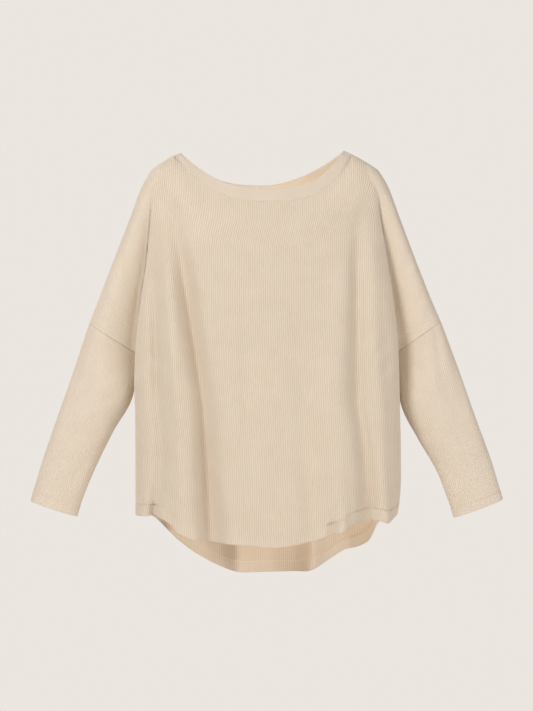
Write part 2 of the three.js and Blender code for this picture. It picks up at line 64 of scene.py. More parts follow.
# Sizes that the cloth shares with its solids
SEAM_GAP = 0.3
HEM_DEPTH = 20
HEM_LEVEL_Z = -600
NECK_EDGES = {
    "seam": dict(centre_x=-5.3, half_width=147.3, front_depth=59, back_depth=56,
                 left_z=-4, right_z=-3, front_low=-83, back_low=-69),
    "top": dict(centre_x=-7, half_width=134, front_depth=53, back_depth=50,
                left_z=0, right_z=4, front_low=-62, back_low=-49),
}
NECK_POWERS = dict(front_left=2.3, front_right=3.3, back_left=2.8, back_right=1.85)
SHOULDER_POWER = 1.15
# Part of a section's length, from each side, whose column runs up to the neck point.
NECK_PART = 5 / 36
NECK_PART_LEVEL_Z = -520
SECTION_PLACES = 401

# Shoulder seam and overarm line: x by height.
OVERARM = {
    "left": table("z x", (-28, -190), (-44, -199.5), (-61, -208), (-110, -226),
                  (-176, -252), (-242, -277), (-282, -292.5)),
    "right": table("z x", (-28, 184), (-44, 194.5), (-61, 203), (-110, 221),
                   (-176, 246), (-242, 272), (-278, 287.5)),
}
# Crease beside the dropped shoulder, and below the underarm the side seam.
SIDES = {
    "left": table("z x depth tuck",
                  (-20, -178, 34, 0), (-61, -187, 31, 0), (-110, -190, 25, 1),
                  (-176, -195, 18, 2), (-242, -204, 11, 3), (-300, -210, 5, 4),
                  (-332, -212, 0, 5), (-380, -213.5, 0, 5), (-430, -214, 0, 2),
                  (-600, -214, 0, 1)),
    "right": table("z x depth tuck",
                   (-20, 168, 34, 0), (-61, 181, 26, 0), (-110, 187, 17, 2),
                   (-176, 196, 9, 4), (-242, 204, 5, 6), (-300, 210.5, 2.5, 6),
                   (-329, 213, 0, 5), (-380, 214.5, 0, 5), (-430, 217, 0, 3),
                   (-500, 219, 0, 2), (-560, 218.5, 0, 1), (-605, 212, 0, 1)),
}
UNDERARM_Z = {"left": -332, "right": -329}
WING_BULGE = table("z bulge", (-28, 0), (-61, 3), (-110, 12), (-176, 20), (-242, 26), (-330, 31))
BODY_DEPTH = {
    "front": table("z depth square", (-20, 50, 2), (-83, 64, 1.35), (-130, 76, 0.95),
                   (-200, 88, 0.68), (-300, 97, 0.54), (-450, 102, 0.5), (-650, 102, 0.5)),
    "back": table("z depth square", (-20, 48, 2), (-83, 62, 1.35), (-130, 74, 0.95),
                  (-200, 85, 0.68), (-300, 94, 0.54), (-450, 100, 0.5), (-700, 104, 0.5)),
}
SHOULDER_ROUND = 30
NECK_ROUND = 90
TUCK_POWER = 0.55
FADE_POWER = 0.35
TOP_BLEND = 0.2

# Long folds that fall from the shoulders: a ridge has a negative depth, and sway bows
# a fold between its middle and the hem.
FOLD_COLUMNS = "top_z top_x mid_x hem_x sway width mid_depth hem_depth"
FOLD_MIDDLE_Z = -400
FOLD_HEM_Z = -640
FOLD_ONSET = 150
FOLD_TOP_PART = 0.5
FOLD_MIDDLE_WIDTH = 0.8
FOLD_HEM_WIDTH = 1.1
LEAN_REACH = 0.36
LEAN_TOP_Z = -90
LEAN_LENGTH = 80
FOLDS = {
    "front": table(FOLD_COLUMNS,
                   (-130, -182, -178, -196, 15, 11, 9, 15), (-70, -152, -104, -89, 0, 17, 23, 31),
                   (-110, -166, -146, -138, 4, 17, -6, -8), (-190, -62, -58, -44, 0, 24, -4, -6),
                   (-280, 58, 62, 78, 0, 22, 6, 11), (-220, 112, 114, 120, 0, 22, -5, -8),
                   (-80, 149, 146, 166, 5, 14, 14, 24), (-240, 168, 185, 192, 0, 13, -4, -5)),
    "back": table(FOLD_COLUMNS,
                  (-130, -170, -164, -158, -6, 14, 13, 22), (-120, -118, -110, -104, 0, 20, -6, -9),
                  (-110, -76, -58, -46, 4, 18, 14, 22), (-250, 6, 8, 12, 0, 24, -5, -9),
                  (-100, 96, 82, 78, -5, 17, 17, 26), (-150, 128, 130, 134, 0, 18, -6, -10),
                  (-120, 164, 170, 184, 6, 12, 12, 18)),
}
HEMS = {
    "front": table("x z", (-216, -594), (-176, -596), (-155, -605), (-138, -620), (-98, -633),
                   (-28, -638), (5, -642), (53, -636), (106, -622), (128, -608), (165, -600),
                   (199, -602), (213, -593)),
    "back": table("x z", (-216, -594), (-194, -603), (-170, -624), (-150, -647), (-122, -670),
                  (-92, -687), (-55, -699), (-8, -703), (45, -701), (75, -695), (100, -683),
                  (133, -664), (172, -648), (188, -616), (200, -602), (213, -593)),
}
# Short places where a hem curls: how far out and how far down its edge goes.
CURL_START = 1.86
HEM_CURLS = {
    "front": table("x width out drop", (-182, 6, -5, -2), (-112, 12, 3, 1), (104, 8, -6, -2),
                   (122, 9, 6, 3), (196, 7, 3, 2)),
    "back": table("x width out drop", (-150, 12, 3, 0), (70, 14, -3, 1), (148, 10, 3, 1)),
}
SLEEVES = {
    "left": table("at outer_x outer_z inner_x inner_z half",
                  (0, -292.5, -282, -212.8, -332, 31), (0.25, -319, -362, -221, -403, 31),
                  (0.5, -345, -436, -252, -458, 29), (0.75, -368, -503, -283, -521, 26),
                  (0.92, -383, -552, -305, -575, 22), (1, -389, -574, -312, -599, 21)),
    "right": table("at outer_x outer_z inner_x inner_z half",
                   (0, 287.5, -278, 213.8, -329, 31), (0.25, 318, -360, 221, -412, 31),
                   (0.5, 344, -434, 249, -470, 29), (0.75, 369, -502, 281, -525, 26),
                   (0.92, 384, -551, 302, -579, 22), (1, 390, -571, 309, -601, 21)),
}
SLEEVE_ROUNDING = 0.3
SLEEVE_TROUGH = dict(across=0.74, width=0.13, depth=4, start=0.02, end=0.62)
# Soft creases of the body, the dropped shoulders and the sleeves, each on a bowed line
# from its start to its end: a ridge has a negative depth. Seen from the front.
CREASE_EDGE = 9
CREASE_COLUMNS = "x0 z0 x1 z1 bow width depth"
CREASES = {
    "front": table(CREASE_COLUMNS,
                   (-205, -305, -150, -352, 6, 9, 3.2), (-207, -318, -168, -392, 4, 7, 2.4),
                   (206, -300, 158, -340, -6, 9, 3.0), (208, -322, 176, -380, -3, 6, 1.8),
                   (-158, -48, -99, -430, 4, 11, 6.5), (-172, -70, -134, -470, 3, 12, -4.5),
                   (-140, -56, -74, -560, 4, 25, 6.5), (-104, -400, -84, -640, 2, 12, 5.0),
                   (-188, -120, -170, -440, 3, 8, 4.5), (-120, -90, -82, -400, 3, 15, -2.5),
                   (154, -70, 146, -440, 4, 15, 3.2), (174, -90, 184, -430, 4, 12, -2.4),
                   (118, -110, 112, -470, -3, 15, -3.0), (40, -200, 64, -560, 4, 18, 2.4),
                   (-96, -96, -40, -150, 5, 15, 1.6), (92, -92, 48, -138, -5, 14, 1.4),
                   (-34, -300, -22, -520, 5, 13, 1.8), (28, -360, 16, -560, -4, 12, 1.6),
                   (-240, -150, -212, -236, 4, 7, 2.2), (-262, -214, -222, -282, 4, 6, -1.6),
                   (236, -152, 214, -228, -4, 7, 2.0), (258, -222, 226, -290, -3, 6, 1.8),
                   (-254, -190, -338, -466, 5, 9, 3.6), (-270, -262, -296, -344, -3, 13, 2.2),
                   (-228, -352, -262, -372, 3, 6, 1.8), (-232, -386, -276, -410, -3, 6, 1.6),
                   (-306, -452, -350, -500, -4, 7, 1.6), (-288, -500, -320, -545, 3, 6, 1.4),
                   (258, -218, 286, -372, -5, 8, 2.8), (292, -304, 326, -440, -5, 8, 2.4),
                   (226, -346, 264, -366, -3, 6, 1.8), (230, -384, 280, -404, 3, 6, 1.6),
                   (300, -446, 344, -492, 4, 7, 1.8), (286, -508, 316, -548, -3, 6, 1.2)),
    "back": table(CREASE_COLUMNS,
                  (-204, -300, -146, -344, 6, 10, 3.0), (-206, -324, -170, -400, 3, 7, 2.0),
                  (207, -306, 150, -356, -6, 9, 3.2), (206, -326, 178, -396, -4, 6, 2.0),
                  (-60, -92, 40, -112, -8, 13, 1.8), (-20, -130, 92, -168, -6, 16, -1.5),
                  (-16, -320, -24, -560, 5, 12, 1.6), (44, -400, 38, -600, -4, 12, 1.8),
                  (-238, -140, -210, -226, 4, 7, 2.0), (240, -160, 212, -242, -4, 7, 2.2),
                  (-254, -206, -288, -380, 5, 9, 3.0), (-286, -318, -324, -470, -5, 8, 2.4),
                  (-226, -356, -266, -382, -3, 7, 2.0), (-300, -470, -346, -512, 4, 7, 1.6),
                  (252, -200, 282, -356, -5, 8, 3.2), (288, -330, 318, -458, 6, 9, 2.2),
                  (228, -350, 262, -378, 3, 6, 1.8), (234, -392, 284, -420, -3, 6, 1.6),
                  (304, -460, 342, -506, -4, 7, 1.8)),
}


def mix(a, b, t):
    """The value part t of the way from a to b."""
    return a + (b - a) * t


def smooth(t):
    """0 below 0 and 1 above 1, with a soft S between."""
    s = np.clip(t, 0, 1)
    return s * s * (3 - 2 * s)


def unit(vectors):
    """The same directions with a length of 1."""
    return vectors / np.maximum(np.linalg.norm(vectors, axis=-1, keepdims=True), 1e-9)


def run_along(points):
    """Length of a line of points from its first point to each."""
    return np.concatenate([[0], np.cumsum(np.linalg.norm(np.diff(points, axis=0), axis=-1))])


def read_line(run, values, at):
    """Values of three columns along a line, read at given lengths of it."""
    return np.stack([np.interp(at, run, values[:, i]) for i in range(3)], axis=-1)


def read(rows, key, at, column):
    """A column at a value of the key column, on a smooth cubic through the rows.

    Each row's slope is that between its two neighbours.
    """
    order = np.argsort(rows[key])
    keys = rows[key][order]
    values = rows[column][order]
    last = len(keys) - 1
    before = np.maximum(np.arange(last + 1) - 1, 0)
    after = np.minimum(np.arange(last + 1) + 1, last)
    slopes = (values[after] - values[before]) / (keys[after] - keys[before])
    at = np.clip(at, keys[0], keys[last])
    i = np.clip(np.searchsorted(keys, at, side="right") - 1, 0, last - 1)
    step = keys[i + 1] - keys[i]
    t = (at - keys[i]) / step
    start = (2 * t**3 - 3 * t**2 + 1) * values[i] + (t**3 - 2 * t**2 + t) * step * slopes[i]
    end = (3 * t**2 - 2 * t**3) * values[i + 1] + (t**3 - t**2) * step * slopes[i + 1]
    return start + end


def neck_point(edge, turn):
    """A point of a neckline edge: an oval in plan, from the right neck point by the front.

    Its height climbs from the low point by a power of the distance from the middle.
    """
    sizes = NECK_EDGES[edge]
    across = np.cos(turn)
    front = np.sin(turn) >= 0
    right = across >= 0
    power = np.where(
        front,
        np.where(right, NECK_POWERS["front_right"], NECK_POWERS["front_left"]),
        np.where(right, NECK_POWERS["back_right"], NECK_POWERS["back_left"]),
    )
    low = np.where(front, sizes["front_low"], sizes["back_low"])
    high = np.where(right, sizes["right_z"], sizes["left_z"])
    depth = np.where(front, sizes["front_depth"], sizes["back_depth"])
    x = sizes["centre_x"] + sizes["half_width"] * across
    z = low + (high - low) * np.abs(across) ** power
    return np.stack([x, -depth * np.sin(turn), z], axis=-1)


def top_edge(face, x):
    """Top edge of a panel at x: how far it is from the middle plane, its height, and
    how much it is neckline (1 at the middle, 0 on the shoulder seam)."""
    sizes = NECK_EDGES["seam"]
    across = (x - sizes["centre_x"]) / sizes["half_width"]
    inside = np.clip(across, -1, 1)
    sign = 1 if face == "front" else -1
    point = neck_point("seam", sign * np.arccos(inside))
    right = across > 0
    corner_x = np.where(right, OVERARM["right"]["x"][0], OVERARM["left"]["x"][0])
    corner_z = np.where(right, OVERARM["right"]["z"][0], OVERARM["left"]["z"][0])
    neck_x = sizes["centre_x"] + np.where(right, 1, -1) * sizes["half_width"]
    neck_z = np.where(right, sizes["right_z"], sizes["left_z"])
    along = np.clip((x - neck_x) / (corner_x - neck_x), 0, 1)
    shoulder_z = mix(neck_z, corner_z, along**SHOULDER_POWER)
    on_neck = np.abs(across) < 1
    return dict(
        y=np.where(on_neck, np.abs(point[..., 1]), 0),
        z=np.where(on_neck, point[..., 2], shoulder_z),
        neck=np.where(on_neck, 1 - inside * inside, 0),
    )


NO_TOP = dict(y=0, z=0, neck=0)


def fold_at(rows, z):
    """Middle line, depth and width of each fold of a table at a height."""
    z = np.asarray(z, float)[..., None]
    upper = np.clip((rows["top_z"] - z) / (rows["top_z"] - FOLD_MIDDLE_Z), 0, 1)
    lower = np.clip((FOLD_MIDDLE_Z - z) / (FOLD_MIDDLE_Z - FOLD_HEM_Z), 0, 1)
    onset = smooth((rows["top_z"] - z) / FOLD_ONSET) * mix(FOLD_TOP_PART, 1, upper)
    x = mix(mix(rows["top_x"], rows["mid_x"], upper), rows["hem_x"], lower)
    x = x + rows["sway"] * np.sin(np.pi * lower)
    depth = mix(rows["mid_depth"], rows["hem_depth"], lower) * onset
    return x, depth, rows["width"] * mix(FOLD_MIDDLE_WIDTH, FOLD_HEM_WIDTH, lower)


def fold_depth(face, x, z):
    """Depth that all folds take away at a place: a bell across each fold's line."""
    middle, depth, width = fold_at(FOLDS[face], z)
    return np.sum(depth * np.exp(-(((x[..., None] - middle) / width) ** 2)), axis=-1)


def lean(face, sine, z, middle, half):
    """How far the cloth's columns lean with its troughs, as part of the half width."""
    rows = {name: values[FOLDS[face]["hem_depth"] > 0] for name, values in FOLDS[face].items()}
    home = (rows["hem_x"] - middle[..., None]) / half[..., None]
    shift = (fold_at(rows, z)[0] - rows["hem_x"]) / half[..., None]
    total = np.sum(shift * np.exp(-(((sine[..., None] - home) / LEAN_REACH) ** 2)), axis=-1)
    return total * (1 - sine * sine) * smooth((LEAN_TOP_Z - z) / LEAN_LENGTH)


def round_top(hull, top, z):
    """Starts a panel at its top edge and rounds it over to its full depth."""
    below = np.clip((top["z"] - z) / mix(SHOULDER_ROUND, NECK_ROUND, top["neck"]), 0, 1)
    arc = np.sqrt(1 - (1 - below) ** 2)
    slope = np.sin(below * np.pi / 2)
    return top["y"] + (hull - top["y"]) * mix(arc, slope, top["neck"])


def body_section(face, across, z, top):
    """x and depth of the body at a place across it, from -1 to 1.

    The place's sine gives x and a power of its cosine the depth, so the sides round
    away. The folds' depth is taken off, less so at the sides.
    """
    sine = np.sin(across * np.pi / 2)
    cosine = np.maximum(0, np.cos(across * np.pi / 2))
    left_x = read(SIDES["left"], "z", z, "x")
    right_x = read(SIDES["right"], "z", z, "x")
    middle = (left_x + right_x) / 2
    half = (right_x - left_x) / 2
    on_left = across < 0
    rim = np.where(on_left, read(SIDES["left"], "z", z, "depth"), read(SIDES["right"], "z", z, "depth"))
    tuck = np.where(on_left, -read(SIDES["left"], "z", z, "tuck"), read(SIDES["right"], "z", z, "tuck"))
    shape = read(BODY_DEPTH[face], "z", z, "depth")
    square = read(BODY_DEPTH[face], "z", z, "square")
    beside = tuck * np.sin(np.pi * cosine**TUCK_POWER) * np.abs(sine)
    x = middle + half * (sine + lean(face, sine, z, middle, half)) + beside
    hull = rim + (shape - rim) * cosine**square - fold_depth(face, x, z) * cosine**FADE_POWER
    return x, round_top(hull, top, z)


def section_places(count):
    """Places across the front that share out its section's length evenly."""
    across = np.linspace(-1, 1, SECTION_PLACES)
    level = np.full(SECTION_PLACES, float(NECK_PART_LEVEL_Z))
    x, depth = body_section("front", across, level, NO_TOP)
    length = np.concatenate([[0], np.cumsum(np.hypot(np.diff(x), np.diff(depth)))])
    return np.interp(np.asarray(count) * length[-1], length, across)


NECK_PLACES = np.sin(section_places([NECK_PART, 1 - NECK_PART]) * np.pi / 2)


def top_x(across):
    """x on the top edge of the column at a place: two columns land on the neck points."""
    part = (np.sin(across * np.pi / 2) - NECK_PLACES[0]) / (NECK_PLACES[1] - NECK_PLACES[0])
    return NECK_EDGES["seam"]["centre_x"] + NECK_EDGES["seam"]["half_width"] * (2 * part - 1)


def panel_surface(face, across, run):
    """A point of a panel's body, by its place across and its run down the cloth.

    The run is 0 on the top edge, 1 at the underarm, 2 at the top of the hem's band, and
    beyond 2 it counts millimetres down the band.
    """
    level = mix(UNDERARM_Z["left"], UNDERARM_Z["right"], (across + 1) / 2)
    top = top_edge(face, top_x(across))
    down = np.clip(run, 0, 1)
    upper_z = mix(top["z"], level, down)
    upper_x, upper_depth = body_section(face, across, upper_z, top)
    upper_x = mix(top_x(across), upper_x, smooth(down / TOP_BLEND))
    hem_x = body_section(face, across, np.full_like(across, HEM_LEVEL_Z), NO_TOP)[0]
    hem_z = read(HEMS[face], "x", hem_x, "z") + HEM_DEPTH
    lower_z = mix(level, hem_z, np.clip(run - 1, 0, 1)) - np.maximum(run - 2, 0)
    lower_x, lower_depth = body_section(face, across, lower_z, NO_TOP)
    curl = smooth((run - CURL_START) / (2 - CURL_START) / 2) + smooth((run - 2) / HEM_DEPTH) / 2
    rows = HEM_CURLS[face]
    near = np.exp(-(((lower_x[..., None] - rows["x"]) / rows["width"]) ** 2))
    lower_depth = lower_depth + curl * np.sum(rows["out"] * near, axis=-1)
    lower_z = lower_z - curl * np.sum(rows["drop"] * near, axis=-1)
    above = run <= 1
    x = np.where(above, upper_x, lower_x)
    depth = np.where(above, upper_depth, lower_depth)
    z = np.where(above, upper_z, lower_z)
    return on_face(face, x, depth, z)


def wing_surface(face, side, reach, down):
    """A point of the dropped shoulder, from the crease (reach 0) to the overarm (reach 1).

    Straight lines slant from the crease to the overarm line, and bulge past their chord.
    """
    end = -1.0 if side == "left" else 1.0
    start_x = float(top_x(np.array(end)))
    corner_x = OVERARM[side]["x"][0]
    corner_z = OVERARM[side]["z"][0]
    top = top_edge(face, mix(start_x, corner_x, reach))
    crease_top = float(top_edge(face, np.array(start_x))["z"])
    crease_z = mix(crease_top, UNDERARM_Z[side], down)
    outer_z = mix(corner_z, OVERARM[side]["z"][-1], down)
    blend = smooth(down / TOP_BLEND)
    crease_x = mix(start_x, read(SIDES[side], "z", crease_z, "x"), blend)
    x = mix(crease_x, read(OVERARM[side], "z", outer_z, "x"), reach)
    z = mix(crease_z, outer_z, reach)
    z = z + (top["z"] - mix(crease_top, corner_z, reach)) * (1 - blend)
    across = np.arcsin(np.clip(reach, 0, 1)) * 2 / np.pi
    rim = read(SIDES[side], "z", crease_z, "depth")
    bulge = read(WING_BULGE, "z", crease_z, "bulge")
    hull = rim * np.sqrt(np.clip(1 - reach * reach, 0, 1)) + bulge * np.sin(np.pi * across)
    return on_face(face, x, round_top(hull, top, z), z)


def on_face(face, x, depth, z):
    """Points of the front or the back, with the listed creases pressed in."""
    facing = -1 if face == "front" else 1
    depth = creased(face, x, depth, z)
    return np.stack([x, facing * np.maximum(SEAM_GAP / 2, depth), z], axis=-1)


def creased(face, x, depth, z):
    """Depth of the cloth with its creases, which fade where it comes to a flat edge."""
    return depth - crease_depth(CREASES[face], x, z) * smooth(depth / CREASE_EDGE)


def crease_depth(rows, x, z):
    """How deep the creases press in at a place: along each line a half sine, across it a
    bell."""
    run_x = rows["x1"] - rows["x0"]
    run_z = rows["z1"] - rows["z0"]
    length = np.hypot(run_x, run_z)
    from_x = np.asarray(x)[..., None] - rows["x0"]
    from_z = np.asarray(z)[..., None] - rows["z0"]
    along = (from_x * run_x + from_z * run_z) / length**2
    taper = np.sin(np.pi * np.clip(along, 0, 1))
    beside = (from_x * run_z - from_z * run_x) / length - rows["bow"] * taper
    return np.sum(rows["depth"] * taper * np.exp(-((beside / rows["width"]) ** 2)), axis=-1)


def rib_relief(column, columns_per_rib, relief):
    """Height of a column of points on the ribs: a groove for one column of each rib."""
    low = column % columns_per_rib == 0
    return np.where(low, -relief * (columns_per_rib - 1) / columns_per_rib, relief / columns_per_rib)


def build_mesh(name, points, groups, *finishes):
    """A smooth mesh in metres from points in millimetres.

    Each group is a list of faces, the place of every point on the cloth, which becomes
    the map "cloth", and the number of its finish. Points that coincide are joined.
    """
    faces = [face for group, _, _ in groups for face in group]
    places = np.concatenate([cloth[np.concatenate([np.asarray(face) for face in group])]
                             for group, cloth, _ in groups])
    finish = np.concatenate([np.full(len(group), number) for group, _, number in groups])
    mesh = bpy.data.meshes.new(name)
    mesh.from_pydata((points * MM).tolist(), [], faces)
    layer = mesh.uv_layers.new(name="cloth")
    layer.uv.foreach_set("vector", (places * MM).astype(np.float32).ravel())
    for material in finishes:
        mesh.materials.append(material)
    mesh.polygons.foreach_set("material_index", finish.astype(np.int32))
    work = bmesh.new()
    work.from_mesh(mesh)
    bmesh.ops.remove_doubles(work, verts=work.verts, dist=0.02 * MM)
    bmesh.ops.dissolve_degenerate(work, edges=work.edges, dist=0.01 * MM)
    work.to_mesh(mesh)
    work.free()
    mesh.polygons.foreach_set("use_smooth", np.ones(len(mesh.polygons), bool))
    mesh.validate()
    piece = bpy.data.objects.new(name, mesh)
    bpy.context.scene.collection.objects.link(piece)
    return piece


def thicken(piece, thickness):
    """Gives a cloth piece its thickness, on the inside."""
    solid = piece.modifiers.new("thickness", "SOLIDIFY")
    solid.thickness = thickness * MM
    solid.offset = -1
    solid.use_even_offset = False
    solid.use_quality_normals = True
    piece.modifiers.new("normals", "WEIGHTED_NORMAL")


# Rows of points down a panel
UPPER_ROWS = 34
UPPER_ROW_POWER = 1.55
# Lines of the dropped shoulder, three to a rib, with closer ones over its top edge
WING_STEPS = 226
WING_LINES = np.concatenate([[0, 0.12, 0.45], np.arange(1, WING_STEPS + 1)])
# Part of the dropped shoulder over which its ribs turn from the shoulder seam to the
# drop seam
WING_TURN = 0.7
LOWER_ROWS = 28
WING_COLUMNS = 9
FINE_PLACES = 1201
# Part of the upper panel below which threads are spaced along the cloth, not along x
THREAD_TURN = 0.4
# Widest half section of the body's cloth, and the cloth's length above and below the
# underarm, for its threads and patterns
WIDEST_HALF = 330
TOP_LENGTH = 300
LOWER_LENGTH = 285
# Rows of points down a sleeve, and its widest half girth
SLEEVE_ROWS = 40
SLEEVE_ROW_POWER = 1.15
SLEEVE_HALF = 130
# Threads keep a margin from the side edges, and ribs fade out towards edges and seams
EDGE_MARGIN = 0.6
EDGE_FADE = 7
SEAM_FADE = 2.5
WING_EDGE_PART = 0.2
# Part of the ribs' height that the turned bands, dropped shoulders and sleeves have
BAND_RIBS = 0.5
WING_RELIEF = 0.4
SLEEVE_RELIEF = 0.5
# How far the cloth rolls in at the side, drop and neck seams, and over what width
SIDE_ROLL = 0.5
DROP_ROLL = 0.12
NECK_ROLL = 0.25
SEAM_ROLL_WIDTH = 2.2


def turned_edge(depth, raise_by, thickness, start):
    """Rows round a turned hem: how far down the band, and how far out of the surface.

    Down the outside, half a circle round the fold, and up the inside.
    """
    radius = (raise_by + thickness) / 2
    angles = np.radians([0, 35, 70, 110, 145, 180])
    outside = [(0.7, -0.1), (1.8, raise_by * 0.6), (3.2, raise_by), (depth * 0.5, raise_by)]
    fold = zip(depth - radius + radius * np.sin(angles), raise_by - radius + radius * np.cos(angles))
    inside = [(depth * 0.5, -thickness), (start + 1.5, -thickness), (start, 0.3 - thickness)]
    rows = np.array(outside + list(fold) + inside)
    return rows[:, 0], rows[:, 1]


def panel_rows(sizes):
    """Run and offset of every row of a panel, and the wing line that each upper row meets."""
    steps = np.arange(UPPER_ROWS + 1) / UPPER_ROWS
    lines = np.concatenate([WING_LINES[:4], np.round(WING_STEPS * steps**UPPER_ROW_POWER)])
    meets = np.searchsorted(WING_LINES, np.unique(lines))
    lower = 1 + np.arange(1, LOWER_ROWS + 1) / LOWER_ROWS
    down, out = turned_edge(HEM_DEPTH, sizes.hem_raise / MM, sizes.hem_fold / MM, 1.0)
    run = np.concatenate([WING_LINES[meets] / WING_STEPS, lower, 2 + down])
    offset = np.concatenate([np.zeros(len(meets) + LOWER_ROWS), out])
    return run, offset, meets


def seam_roll(distance, depth):
    """How far cloth rolls in towards a seam at a distance from it: a bell."""
    return -depth * np.exp(-((distance / SEAM_ROLL_WIDTH) ** 2))


def thread_places(points, places, at):
    """Places on a row of points whose length from its middle reaches each given value.

    Also returns each one's distance to the nearer end, and where the two ends are.
    """
    length = run_along(points)
    length -= np.interp((places[0] + places[-1]) / 2, places, length)
    to_edge = np.minimum(at - length[0], length[-1] - at)
    return np.interp(at, length, places), to_edge, length[[0, -1]]


def make_panel(face, sizes, finishes):
    """Front or back: the body on its threads, and the two dropped shoulders beside it.

    Every thread of the body ends where it meets the crease or the side seam, and one
    many-sided face there closes each row against the edge.
    """
    run, offset, meets = panel_rows(sizes)
    pitch = sizes.rib_pitch / MM
    spacing = pitch / sizes.rib_columns
    reach = int(WIDEST_HALF / spacing)
    columns = np.arange(-reach, reach + 1)
    places = np.empty((len(run), len(columns)))
    to_edge = np.empty_like(places)
    ends = np.empty((len(run), 2))
    fine = np.sin(np.linspace(-1, 1, FINE_PLACES) * np.pi / 2)
    for row, at in enumerate(run):
        level = panel_surface(face, fine, np.full(FINE_PLACES, at))[:, :2]
        level = level * [1, smooth(at / THREAD_TURN)]
        places[row], to_edge[row], ends[row] = thread_places(level, fine, columns * spacing)
    runs = np.broadcast_to(run[:, None], places.shape)

    # Points of the body
    keep = to_edge > EDGE_MARGIN
    index = np.full(places.shape, -1)
    index[keep] = np.arange(keep.sum())
    across = places[keep]
    along = runs[keep]
    base = panel_surface(face, across, along)
    normal = panel_normals(face, across, along)
    column = np.broadcast_to(columns, places.shape)[keep]
    ribs = rib_relief(column, sizes.rib_columns, sizes.rib_relief / MM)
    in_band = along > 2
    fade = smooth((to_edge[keep] - EDGE_MARGIN) / EDGE_FADE) * np.where(in_band, BAND_RIBS, 1)
    top_distance = np.where(along <= 1, along * TOP_LENGTH, TOP_LENGTH)
    lift = np.broadcast_to(offset[:, None], places.shape)[keep] + ribs * fade
    lift = lift + seam_roll(to_edge[keep], SIDE_ROLL) * smooth(along - 1)
    lift = lift + seam_roll(top_distance, NECK_ROLL)
    body = base + normal * lift[:, None]
    body_uv = np.stack([column * spacing, cloth_height(along)], axis=-1)

    # Points of the side edges, shared with the dropped shoulders down to the underarm
    points = [body]
    uvs = [body_uv]
    count = len(body)
    edge_index = {}
    side_groups = []
    wing_groups = []
    for side, end in (("left", -1.0), ("right", 1.0)):
        upper = WING_LINES / WING_STEPS
        lower = run[len(meets):]
        edge_run = np.concatenate([upper, lower])
        edge = panel_surface(face, np.full(len(edge_run), end), edge_run)
        out = np.concatenate([np.zeros(len(upper)), offset[len(meets):]])
        edge[:, 0] += end * out
        chain = count + np.arange(len(edge))
        edge_index[side] = chain
        count += len(edge)
        points.append(edge)
        edge_end = ends[:, 0 if side == "left" else 1]
        edge_place = np.concatenate([np.interp(upper, run[:len(meets)], edge_end[:len(meets)]),
                                     edge_end[len(meets):]])
        uvs.append(np.stack([edge_place, cloth_height(edge_run)], axis=-1))
        side_groups.append((side, end, chain))

    # Points of the dropped shoulders
    for side, end, chain in side_groups:
        wing, wing_uv = wing_points(face, side, sizes)
        fresh = count + np.arange(wing[:, 1:, 0].size).reshape(len(wing), -1)
        grid = np.concatenate([chain[:len(wing), None], fresh], axis=1)
        count += wing[:, 1:, 0].size
        points.append(wing[:, 1:].reshape(-1, 3))
        uvs.append(wing_uv[:, 1:].reshape(-1, 2))
        wing_groups.append((end, grid, chain, wing_uv))

    all_uv = np.concatenate(uvs)
    flip = face == "back"
    groups = [(body_faces(index, edge_index, meets, flip), all_uv, 0)]
    for end, grid, chain, wing_uv in wing_groups:
        shoulder_uv = all_uv.copy()
        shoulder_uv[chain[:len(wing_uv)]] = wing_uv[:, 0]
        groups.append((grid_faces(grid, (end > 0) == flip), shoulder_uv, 1))
    piece = build_mesh(f"cloth_{face}", np.concatenate(points), groups, *finishes)
    thicken(piece, sizes.knit_thickness / MM)
    return piece


def panel_normals(face, across, run):
    """Outward normals of the body, from differences of its surface."""
    in_upper = 0.004
    in_band = 0.25
    beside = 0.002
    low = np.where(run > 2, np.maximum(run - in_band, 2), np.maximum(run - in_upper, 0))
    high = np.where(run >= 2, run + in_band, run + in_upper)
    along = panel_surface(face, np.minimum(across + beside, 1), run)
    along = along - panel_surface(face, np.maximum(across - beside, -1), run)
    down = panel_surface(face, across, high) - panel_surface(face, across, low)
    return unit(np.cross(down, along) * (1 if face == "front" else -1))


def cloth_height(run):
    """Place down the cloth of a run, in millimetres, for the knit's pattern."""
    upper = np.clip(run, 0, 1) * TOP_LENGTH
    lower = np.clip(run - 1, 0, 1) * LOWER_LENGTH
    return -(upper + lower + np.maximum(run - 2, 0))


